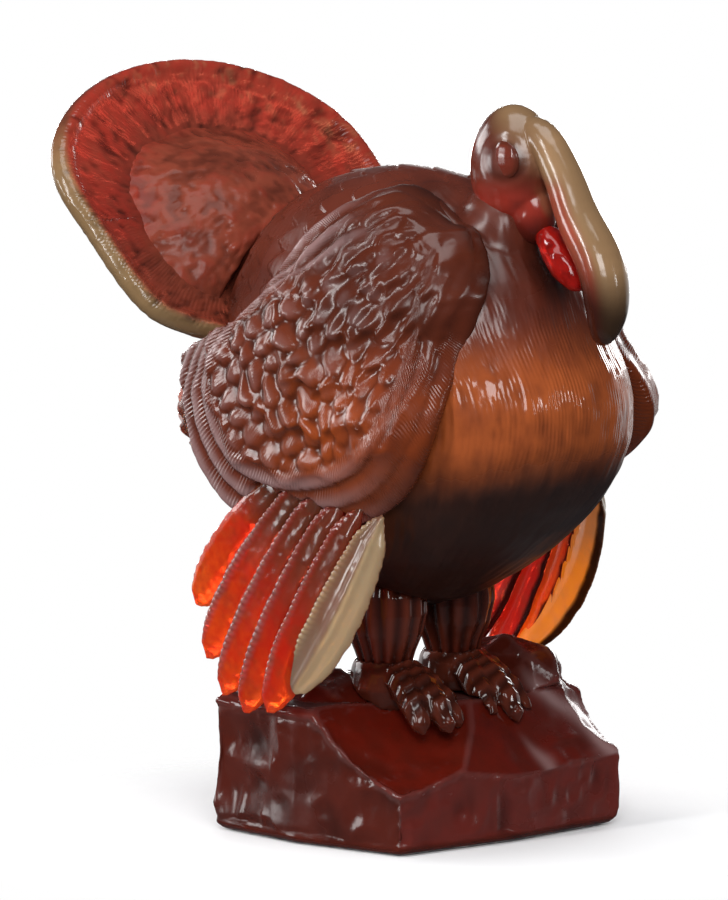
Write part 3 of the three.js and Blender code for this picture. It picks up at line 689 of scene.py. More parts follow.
class TURKEY_OT_legs(bpy.types.Operator):
    """Sculpt the fluted legs and the ringed toes"""

    bl_idname = "turkey.legs"
    bl_label = "Legs and feet"

    FLUTES = 14
    FLUTE_DEPTH = 0.45
    RAGGED = 0.3
    LEG_GLOW = 10.0
    ANKLE = 19.0  # behind the longest toe's tip
    TOE_RING = 2.3
    TOE_RING_DEPTH = 0.3
    TOE_GLOW = 5.0

    def execute(self, context):
        for side in SIDES:
            self.leg(side)
            self.foot(side)
        return {"FINISHED"}

    def leg(self, side):
        node = side + "_leg"
        skin = node_skin(node, sizes().fine_skin, 10)
        x, y, z = skin.points.T
        middle = middle_of(node)
        turn = np.arctan2(y - middle[1], x - middle[0]) / math.tau
        flutes = 0.5 + 0.5 * np.cos(math.tau * turn * self.FLUTES)
        skin.lift(self.FLUTE_DEPTH * (flutes - 0.5) + self.RAGGED * skin.noise(4.0, 11))
        foot = corners(node)[0][2]
        # Painted shade in the flutes' grooves.
        skin.mask("deep", 0.75 * (1.0 - flutes))
        skin.mask("warm", 0.4 * ramp(z, foot + self.LEG_GLOW, foot))
        place(skin, side + "_thigh", node, leg_glass())

    def foot(self, side):
        node = side + "_foot"
        skin = node_skin(node, sizes().fine_skin, 8)
        low = corners(node)[0]
        x, y, z = skin.points.T
        reach = np.hypot(x - middle_of(node)[0], y - low[1] - self.ANKLE)
        rings = 0.5 + 0.5 * np.sin(math.tau * (reach / self.TOE_RING + 0.15 * skin.noise(3.0, 7)))
        shown = ramp(skin.normals()[:, 2], -0.2, 0.3)
        skin.lift(self.TOE_RING_DEPTH * (rings - 0.6) * shown)
        skin.smooth(1)
        # Painted shade in the rings' grooves and on the toes' undersides.
        skin.mask("deep", 0.7 * (1.0 - rings) * shown + 0.4 * (1 - shown))
        skin.mask("warm", 0.3 * ramp(z, low[2] + self.TOE_GLOW, low[2]))
        place(skin, side + "_toes", node, leg_glass())


class TURKEY_OT_body(bpy.types.Operator):
    """Sculpt the stroked breast and the feathered back"""

    bl_idname = "turkey.body"
    bl_label = "Breast and back"

    OVERLAP = 1.5
    SEAM_BAND = 0.5
    FRONT = np.array([4.0, -6.0])  # from the seam
    THROAT_Y = np.array([-5.0, -25.0])  # from the seam
    THROAT_Z = (98.0, 7.0)  # height and spread of the hollow in front of the neck
    THROAT_DEPTH = 2.2
    AXIS_Y = 12.0
    BACK_AXIS_Z = 95.0
    BACK_LEAD = 10.0
    BACK_RUN = 75.0
    BACK_ROWS = [30] * 12
    UNEVEN = 0.3
    BELLY_LINE = 75.5
    BELLY_RISE = 0.004
    UNDER = (6.0, -7.0)  # from the belly line
    LIT = (28.0, 12.0)  # from the belly line
    NECK_Z = (92.0, 102.0)
    COMB_Z = (108.0, 98.0)
    WATTLE_SOCKET = (7.0, 9.0, 11.0)
    BARB_PITCH = 0.8

    def execute(self, context):
        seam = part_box("breast")[1][1] / MM
        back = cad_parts["torso"].data.copy()
        for vert in back.vertices:
            if vert.co.y / MM < seam + self.SEAM_BAND:
                vert.co.y = (seam - self.OVERLAP) * MM
        skin = wrapped([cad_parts["breast"].data, back], sizes().skin)
        bpy.data.meshes.remove(back)
        skin.smooth(24)
        skin.smooth(30, shrinks=True)
        y, z = skin.points.T[1:]
        skin.points[:, 1] += self.THROAT_DEPTH * bell(z, *self.THROAT_Z) * ramp(y, *(seam + self.THROAT_Y))
        self.relief(skin, seam)
        breast, torso = split(skin, (0, seam, 0), (0, 1, 0))
        place(breast, "breast_and_neck", "breast", breast_glass())
        place(torso, "back_and_belly", "torso", breast_glass())
        return {"FINISHED"}

    def relief(self, skin, seam):
        """Cuts the breast's strokes and the back's feathers, and paints the lit amber band as painted light,
        with painted shade on the belly, in the strokes' grooves and round the wattle's socket.
        """
        x, y, z = skin.points.T
        front = ramp(y, *(seam + self.FRONT))
        back = (1 - front) * ramp(skin.normals()[:, 2], -0.3, 0.2)
        turn = np.arctan2(x, -(y - self.AXIS_Y))
        barbs = turn * np.hypot(x, y - self.AXIS_Y) / self.BARB_PITCH
        strokes = flat_noise(turn * 46.0, z / 4.0, 21) + 0.7 * flat_noise(turn * 80.0, z / 2.4, 22)
        over_back = np.arctan2(x, z - self.BACK_AXIS_Z) / math.tau
        across, along = scale_rows((y - seam + self.BACK_LEAD) / self.BACK_RUN, over_back, self.BACK_ROWS)
        height = sizes().breast_stroke / MM * strokes * np.maximum(front, 0.35)
        height += sizes().back_lift / MM * (along**1.3 * (1 - 0.4 * across**2) - 0.4) * back
        height += self.UNEVEN * skin.noise(7.0, 23)
        skin.lift(height)
        over = z - self.BELLY_LINE + self.BELLY_RISE * x**2 + 0.8 * strokes
        under = ramp(over, *self.UNDER)
        lit = ramp(over, *self.LIT) * (0.2 + 0.8 * front)
        socket = np.linalg.norm((skin.points - middle_of("wattle")) / self.WATTLE_SOCKET, axis=1)
        skin.mask("warm", lit * (0.85 + 0.2 * strokes))
        # Painted shade on the belly, in the strokes' grooves and in the hollow where the wattle sits.
        skin.mask("deep", 0.95 * under, 0.15 * ramp(strokes, -0.2, -0.9), 0.8 * ramp(socket, 1.1, 0.6))
        skin.mask("matt", 0.7 * under, 0.35 * ramp(z, *self.NECK_Z))
        skin.mask("comb", 0.6 * front * (1 - under) * ramp(z, *self.COMB_Z))
        skin.soften_masks()
        skin.phase(barbs)


class TURKEY_OT_wings(bpy.types.Operator):
    """Sculpt the scaled wing shields"""

    bl_idname = "turkey.wings"
    bl_label = "Wing shields"

    SHOULDER = np.array([0.5, 0.19, 0.83])  # in shares of the shield's box
    HUB = (-50.0, 152.0)  # place in Y and Z that the rows of scales go round
    ROW = 5.0
    ROWS = 26
    SKIRT = (3.1 * ROW, 2.7 * ROW)  # from the edge
    UPPER = (26.0, 10.0)  # from the shoulder
    LOW_FRONT = (20.0, 30.0)  # from the shoulder
    FRONT_Y = (-8.0, -30.0)
    # Turns about the shoulder: 0 in front, 0.25 below, 0.5 behind and 0.75 above
    SKIRT_TURN = (0.12, 0.2, 0.5, 0.62)
    LOWER_REAR_TURN = (0.22, 0.32, 0.5, 0.62)
    LOW_FRONT_TURN = (0.04, 0.1, 0.2, 0.3)
    REAR_TOP_TURN = (0.6, 0.7, 0.75, 0.9)
    RIM_BINS = 120
    RIM_EVENED = 7  # bins, an odd number
    DASH = 0.3
    LUMP = 0.12
    GRAIN = 0.09
    RIM_SINK = 4.5
    REAR_TOP_SINK = 3.0
    SWELL = {1: 3.5, -1: 1.3}  # forward bulge of the left and the right shield's lower front
    SWELL_Z = (76.0, 10.0)
    DRAW_IN = 3.0
    DRAW_IN_Z = (96.0, 8.0)
    AMBER_Y = (-16.0, 17.0)  # place and spread of the lit glass
    AMBER_Z = (79.0, 14.0)
    BARB_REACH = 62.0
    BARB_PITCH = 0.8

    def execute(self, context):
        for side, sign in SIDES.items():
            node = side + "_wing_shield"
            skin = node_skin(node, sizes().skin, 60)
            self.relief(skin, node, sign)
            place(skin, side + "_shield", node, wing_glass())
        return {"FINISHED"}

    def relief(self, skin, node, sign):
        """Embosses the scales and the skirt, fits the shield to the body and paints it, with painted shade in
        the valleys and at the sunk rim and a painted lavender sheen on the lower rear.
        """
        low, high = corners(node)
        shoulder = low + (high - low) * self.SHOULDER
        y, z = skin.points.T[1:]
        span = np.hypot(y - shoulder[1], z - shoulder[2])
        turn = np.arctan2(z - shoulder[2], y - shoulder[1]) / math.tau + 0.5
        edge = self.rim(span, turn)
        upper = ramp(span, *self.UPPER)
        lower_rear = window(turn, *self.LOWER_REAR_TURN)
        seam = np.clip((span / edge - 0.6) / 0.4, 0.0, 1.0) ** 2 * (1.0 - lower_rear)
        skirt = window(turn, *self.SKIRT_TURN) * ramp(edge - span, *self.SKIRT)
        tier = (span - edge) / self.ROW
        tier = tier - np.floor(tier)
        bulge = self.scales(skin, skirt > 0.5, tier)
        strength = (0.85 + 0.35 * skin.noise(11.0, 34)) * (1 - 0.4 * upper) * (1 - 0.9 * seam)
        height = sizes().scale_lift / MM * (bulge - 0.45) * strength
        height += self.DASH * upper * flat_noise((y + z) / 1.8, (y - z) / 6.0, 36)
        height += self.LUMP * skin.noise(3.0, 31) + self.GRAIN * skin.noise(1.4, 35)
        skin.lift(height * ramp(sign * skin.normals()[:, 0], 0.0, 0.3))
        skin.smooth(4, shrinks=True)
        self.fit_to_body(skin, turn, seam, sign)
        amber = bell(y, *self.AMBER_Y) * bell(z, *self.AMBER_Z)
        low_front = window(turn, *self.LOW_FRONT_TURN) * ramp(span, *self.LOW_FRONT)
        # Painted lavender sheen on the skirt's tiers and the scales' crests at the lower rear.
        painted_sheen = 0.55 * skirt * ramp(tier, 0.2, 0.7) + 0.4 * ramp(bulge, 0.45, 0.85) * (1 - amber)
        skin.mask("warm", (0.12 + 0.88 * amber) * (0.7 + 0.4 * bulge), 0.55 * low_front)
        # Painted shade in the valleys between scales and along the sunk rim, and darker towards the shoulder.
        skin.mask("deep", 0.65 * ramp(bulge, 0.4, 0.05) * strength, 0.35 * upper + 0.4 * ramp(seam, 0.5, 1.0))
        skin.mask("pale", lower_rear * painted_sheen)
        skin.mask("comb", skirt, 0.18 * (1 - upper) * ramp(bulge, 0.2, 0.5))
        skin.mask("matt", 0.12 * upper)
        skin.soften_masks()
        skin.phase(turn * math.tau * self.BARB_REACH / self.BARB_PITCH)

    def rim(self, span, turn):
        """Distance from the shoulder to the shield's edge in each direction, evened out over some bins."""
        middles, reach = highest(turn, span, self.RIM_BINS)
        beside = self.RIM_EVENED // 2
        ring = np.concatenate([reach[-beside:], reach, reach[:beside]])
        even = np.convolve(ring, np.full(self.RIM_EVENED, 1 / self.RIM_EVENED), "valid")
        return np.maximum(1.0, np.interp(turn, middles, even, period=1.0))

    def scales(self, skin, on_skirt, tier):
        """Height of the scales from 0 to 1, each about as wide as tall. The skirt has plain tiers."""
        y, z = skin.points.T[1:]
        back, up = y - self.HUB[0], z - self.HUB[1]
        row = np.hypot(back, up) / self.ROW + 0.1 * skin.noise(5.0, 32)
        turn = np.arctan2(up, back) / math.tau + 0.006 * skin.noise(6.0, 33)
        counts = [max(6, round(math.tau * (number + 0.5))) for number in range(self.ROWS)]
        across, along = scale_rows(row / self.ROWS, turn, counts)
        pillow = np.where(on_skirt, tier, np.clip((along - 0.3) / 0.7, 0.0, 1.0))
        rounded = np.where(on_skirt, 1.0, (1.0 - across**2) ** 0.7)
        return pillow**0.7 * (1.0 - 0.35 * pillow**4) * rounded

    def fit_to_body(self, skin, turn, seam, sign):
        """Sinks the rim into the body and bends the front edge."""
        y, z = skin.points.T[1:]
        skin.points[:, 0] -= sign * self.RIM_SINK * seam
        skin.points[:, 2] -= self.REAR_TOP_SINK * window(turn, *self.REAR_TOP_TURN) * seam
        outside = ramp(sign * skin.normals()[:, 0], -0.6, 0.1)
        swollen = self.SWELL[sign] * outside * bell(z, *self.SWELL_Z)
        forward = (swollen - self.DRAW_IN * bell(z, *self.DRAW_IN_Z)) * ramp(y, *self.FRONT_Y)
        skin.points += np.outer(forward, (sign * 0.7, -0.7, 0.0))
        skin.smooth(12, shrinks=True, share=seam)


class TURKEY_OT_feathers(bpy.types.Operator):
    """Sculpt the drooped flight feathers with their roped quills"""

    bl_idname = "turkey.feathers"
    bl_label = "Flight feathers"

    WIDTH_BINS = 24
    SWEEP = {"left": 6.5, "right": 3.0}  # how far the front feather's tip is swept back
    STEP_IN = 0.2
    TWISTS = 34.0
    RIDGE = 0.8
    GRAIN = 0.06
    LEAF_GRAIN = 0.02

    def execute(self, context):
        for side in SIDES:
            names = sorted(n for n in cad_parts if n.startswith(side + "_flight_feather_"))
            for number, node in enumerate(names):
                self.feather(side, node, number, number / (len(names) - 1))
        return {"FINISHED"}

    def feather(self, side, node, number, share):
        """Makes one blade. Share is 0 for the front one and 1 for the rear one."""
        front = number == 0
        outward = SIDES[side]
        skin = node_skin(node, sizes().fine_skin, 24)
        along, across = self.on_blade(skin.points)
        face = ramp(outward * skin.normals()[:, 0], -0.1, 0.35)
        if not front:
            skin.smooth(40, shrinks=True, share=ramp(across, 0.5, 0.85))
        skin.points[:, 1] += self.SWEEP[side] * (1 - 4 * share) * (number < 2) * along**3
        skin.points[:, 0] -= outward * self.STEP_IN * number
        twist = np.sin(math.tau * (along * self.TWISTS + across * 1.2))
        rope = ramp(outward * skin.normals()[:, 0], 0.25, 0.6) * bell(across, -0.78, 0.15)
        rope = rope * ramp(along, 1.0 - 0.12 * front, 0.8 - 0.1 * front) * (share < 1)
        speckle = skin.noise(1.1, 91) + 0.5 * skin.noise(3.1, 92)
        ridge = self.RIDGE * front * bell(across, 0.1, 0.25) * ramp(along, 1.0, 0.85)
        height = sizes().quill_height / MM * rope * (1.0 + 0.25 * twist) + ridge
        skin.lift((height + (self.LEAF_GRAIN if front else self.GRAIN) * speckle * (1 - rope)) * face)
        self.paint(skin, along, across, face, front, share, rope, twist, speckle)
        material = leaf_glass() if front else feather_glass()
        place(skin, node.replace("flight_feather", "primary"), node, material)

    def on_blade(self, points):
        """Share of the way down a blade, and place across its width, from -1 behind to 1 in front."""
        centred = points - points.mean(0)
        down, over = np.linalg.svd(centred.T @ centred)[0].T[:2]
        down = down if down[2] < 0 else -down
        over = over if over[1] < 0 else -over
        along = centred @ down
        along = (along - along.min()) / (along.max() - along.min())
        offset = centred @ over
        middles, most = highest(along, offset, self.WIDTH_BINS)
        least = -highest(along, -offset, self.WIDTH_BINS)[1]
        low = np.interp(along, middles, least)
        high = np.interp(along, middles, most)
        return along, np.clip(2.0 * (offset - low) / np.maximum(high - low, 0.1) - 1.0, -1.0, 1.0)

    def paint(self, skin, along, across, face, front, share, rope, twist, speckle):
        """Paints the pale quill with painted highlight and shade along its twist, the red to orange blade,
        its brown root, its lit inner face with painted shade along that face's front edge, and a painted
        highlight streak on the front feather.
        """
        inside = 1 - face
        leaf = front * face
        tip = ramp(along, 0.45, 1.0)
        glow = share * (0.3 + 0.7 * tip) + 0.3 * bell(across, 0.5, 0.45) * tip
        cream = ramp(across, 0.0, 0.2) * leaf
        painted_highlight = bell(across, 0.2, 0.1) * leaf * ramp(along, 0.9, 0.6)
        rib = ramp(across, 0.6, 0.74) * inside
        lit_inside = inside * np.clip(1.0 - 3.4 * share + 0.9 * tip * (1 - share), 0.0, 1.0)
        lit_inside *= 0.5 + 0.5 * ramp(along, 0.15, 0.5)
        root = ramp(along, 0.85 - 0.4 * share, 0.3 - 0.1 * share) * face * (1 - leaf)
        smoke = 0.6 * (leaf - cream) * (0.6 + 0.3 * speckle) * ramp(along, 0.9, 0.4)
        smoke += 0.3 * leaf * ramp(across, 0.75, 0.95)
        clear = (1 - rope) * (1 - leaf)
        skin.mask("warm", (glow * face * (0.75 + 0.35 * speckle) + lit_inside) * clear)
        # The quill's own pale colour, lighter on the twist's crests as painted highlight, and the painted
        # highlight streak on the front feather.
        skin.mask("pale", rope * face * (0.75 + 0.25 * twist), 0.6 * cream, painted_highlight)
        # Painted shade in the hollows of the rope's twist; the root's brown and the smoky grey are the
        # glass's own colours.
        skin.mask("deep", root * (1 - 0.8 * rope), 0.6 * rope * ramp(twist, 0.0, -0.9) * face, smoke)
        skin.mask("shade", 0.95 * rib)
        skin.mask("thin", (0.06 * face * (1 - root) + 0.75 * inside * (1 - rib)) * clear)
        skin.soften_masks()


class TURKEY_OT_tail(bpy.types.Operator):
    """Sculpt the barbed tail fan, its rosette and the tuft below it"""

    bl_idname = "turkey.tail"
    bl_label = "Tail"

    LEAN = math.radians(40)
    UP = np.array([0, math.sin(LEAN), math.cos(LEAN)])
    OUT = np.array([0, -math.cos(LEAN), math.sin(LEAN)])
    FAN_HALF_HEIGHT = 32.25
    FAN_GROWTH = 0.012
    TOP_WIDER = 0.045
    CORNER_WIDER = 0.1
    CORNER_DIP = (45.0, 15.0)  # degrees below level, and spread
    NEAR_NARROWER = 0.065
    NEAR_DIP = (5.0, 20.0)
    # Turns about the fan's middle: 0 on the bird's left, 0.25 above and 0.5 on its right
    LOWER_LEFT, RIGHT, UPPER_RIGHT = 0.58, 0.08, 0.16  # as seen from the front
    FAN_BARBS = 230.0
    VANES = 34
    VANE_LIFT = 0.6
    ROSETTE_SINK = 4.4
    ROSETTE_TOP_SINK = 2.0
    ROSETTE_LUMP = 0.22
    ROSETTE_STROKE = 0.25
    TUFT_ROWS = [18] * 7
    TUFT_LIFT = 1.5
    TUFT_DOWN = 0.2

    def execute(self, context):
        self.fan()
        self.rosette()
        self.tuft()
        return {"FINISHED"}

    def fan(self):
        skin = node_skin("tail_fan", sizes().skin, 40)
        share, turn, rise = self.on_fan(skin)
        for side in (1, -1):
            self.even_out(skin, share, turn, side * rise > 0.55)
        skin.smooth(8, shrinks=True)
        strokes = self.strokes(share, turn)
        self.outline(skin, share, turn)
        face = ramp(np.abs(rise), 0.3, 0.6) * ramp(share, 1.0, 0.96)
        vanes = np.abs(np.sin(math.pi * turn * self.VANES))
        behind = ramp(rise, -0.3, -0.6) * window(share, 0.15, 0.4, 0.82, 0.9)
        barbs = sizes().fan_stroke / MM * strokes * face * ramp(share, 0.3, 0.6)
        skin.lift(barbs + self.VANE_LIFT * (vanes - 0.7) * behind)
        skin.points += self.FAN_GROWTH * (skin.points - skin.points.mean(0))
        lower_left = ramp(self.towards(turn, self.LOWER_LEFT), 0.1, 0.7)
        right = ramp(self.towards(turn, self.RIGHT), 0.3, 0.9)
        upper_right = ramp(self.towards(turn, self.UPPER_RIGHT), 0.4, 0.9)
        lip = ramp(share, 0.97 - 0.05 * lower_left, 1.0 - 0.03 * lower_left)
        rim = np.maximum(lip, ramp(share, 0.88, 0.93) * ramp(rise, 0.6, 0.2))
        flecks = skin.noise(0.9, 45) + 0.6 * skin.noise(2.2, 46)
        ochre = 0.3 * ramp(flecks, 0.1, 0.8) * face * upper_right * ramp(share, 0.6, 0.9)
        # Painted shade in the strokes' grooves and between the vanes.
        grooves = 0.7 * ramp(strokes, 0.1, -0.6) * face + 0.5 * ramp(vanes, 0.5, 0.1) * behind
        skin.mask("pale", rim * (0.2 + 0.8 * np.maximum(lower_left, 0.6 * right)), ochre)
        skin.mask("warm", self.redness(share, turn, strokes) * (0.85 + 0.2 * flecks))
        skin.mask("deep", grooves + 0.6 * rim * (1 - np.maximum(lower_left, right)))
        skin.mask("comb", 0.4 * face * ramp(share, 0.55, 0.8))
        skin.mask("thin", face * ramp(np.sin(math.tau * turn), -0.3, 0.8) * ramp(share, 0.5, 0.9))
        skin.soften_masks()
        skin.phase(turn * self.FAN_BARBS + 0.6 * strokes)
        place(skin, "fan", "tail_fan", fan_glass())

    def outline(self, skin, share, turn):
        """Widens the fan's upper half and its lower corners, and draws in its near side."""
        height = share * np.sin(math.tau * turn)
        skin.points[:, 0] *= 1.0 + self.TOP_WIDER * ramp(height, 0.0, 0.6)
        width = np.abs(skin.points[:, 0])
        dip = np.degrees(np.arctan2(-height, width / width.max()))
        near = skin.points[:, 0] < 0
        wider = self.CORNER_WIDER * bell(dip, *self.CORNER_DIP)
        narrower = self.NEAR_NARROWER * near * bell(dip, *self.NEAR_DIP)
        skin.points[:, 0] *= 1.0 + share * (wider - narrower)

    def towards(self, turn, spot):
        """1 in the direction of a spot on the rim, and -1 away from it."""
        return np.cos(math.tau * (turn - spot))

    def redness(self, share, turn, strokes):
        """Red of the fan's outer zone. Brown reaches further out on its lower half."""
        lower = ramp(np.sin(math.tau * turn), 0.1, -0.7)
        start = 0.42 + 0.25 * lower
        return ramp(share + 0.06 * strokes, start, start + 0.32) * (1 - 0.7 * lower)

    def on_fan(self, skin):
        """Share of the way to the fan's rim, turn about its middle and slope towards its face."""
        offset = skin.points - middle_of("tail_fan")
        side = offset[:, 0] / corners("tail_fan")[1][0]
        height = offset @ self.UP / self.FAN_HALF_HEIGHT
        return np.hypot(side, height), np.arctan2(height, side) / math.tau, skin.normals() @ self.OUT

    def even_out(self, skin, share, turn, facing):
        """Fits a smooth dish through the middle of a face and draws it out to the rim, without flutes."""
        angle = math.tau * turn
        rounds = [np.ones(len(share)), np.cos(angle), np.sin(angle), np.cos(2 * angle), np.sin(2 * angle)]
        basis = np.stack([share**power * part for power in range(3) for part in rounds], 1)
        depth = skin.points @ self.OUT
        middle = facing & (share < 0.82)
        fit = np.linalg.lstsq(basis[middle], depth[middle], rcond=None)[0]
        fade = ramp(share, 0.94, 0.88) * facing
        skin.points += self.OUT * ((basis @ fit - depth) * fade)[:, None]

    def strokes(self, share, turn):
        """Broken strokes that run out from the fan's middle."""
        fine = flat_noise(turn * 190.0, share * 18.0, 41)
        leaning = flat_noise(turn * 150.0 + share * 25.0, share * 20.0, 44)
        coarse = flat_noise(turn * 60.0, share * 11.0, 42)
        patchy = 0.7 + 0.5 * flat_noise(turn * 30.0, share * 8.0, 43)
        return (0.7 * fine + 0.6 * leaning + 0.4 * coarse) * patchy

    def rosette(self):
        skin = node_skin("tail_rosette", sizes().skin, 40)
        share, turn, rise = self.on_fan(skin)
        height = (skin.points - middle_of("tail_rosette")) @ self.UP
        reach = np.hypot(skin.points[:, 0] / corners("tail_rosette")[1][0], height / height.max())
        top = ramp(np.sin(math.tau * turn), 0.0, 0.6)
        strokes = self.strokes(share, turn)
        depth = self.ROSETTE_SINK + (self.ROSETTE_TOP_SINK - self.ROSETTE_SINK) * top
        skin.points -= self.OUT * (depth * ramp(reach + 0.04 * strokes, 0.4, 1.0))[:, None]
        lumps = skin.noise(3.0, 51) + 0.8 * skin.noise(1.3, 52)
        relief = self.ROSETTE_LUMP * lumps + self.ROSETTE_STROKE * strokes * ramp(reach, 0.4, 0.85)
        skin.lift(relief * ramp(rise, 0.0, 0.4))
        skin.mask("warm", 0.2 * ramp(lumps, 0.0, 0.8), self.redness(share, turn, strokes))
        # Painted shade in the hollows between the lumps and in the strokes' grooves.
        grooves = ramp(strokes, 0.0, -0.8) * ramp(reach, 0.6, 0.9)
        skin.mask("deep", 0.35 * ramp(lumps, 0.0, -0.8) + 0.4 * grooves)
        place(skin, "rosette", "tail_rosette", rosette_glass())

    def tuft(self):
        skin = node_skin("undertail_tuft", sizes().skin, 14)
        low, high = corners("undertail_tuft")
        x, y, z = skin.points.T
        reach = (y - low[1]) / (high[1] - low[1])
        turn = np.arctan2(z - (low[2] + high[2]) / 2, x) / math.tau
        across, along = scale_rows(reach, turn + 0.01 * skin.noise(5.0, 62), self.TUFT_ROWS)
        down = flat_noise(turn * 90.0, reach * 6.0, 61)
        vane = along**1.2 * (1 - 0.5 * across**2)
        skin.lift(self.TUFT_LIFT * (vane - 0.4) * ramp(reach, 0.98, 0.9) + self.TUFT_DOWN * down)
        skin.mask("warm", ramp(reach, 0.5, 0.95) * (0.6 + 0.4 * vane))
        # Browner towards the root, and painted shade in the hollows between the vanes.
        skin.mask("deep", ramp(reach, 0.9, 0.6), 0.9 * ramp(vane, 0.45, 0.1))
        place(skin, "tuft", "undertail_tuft", feather_glass())


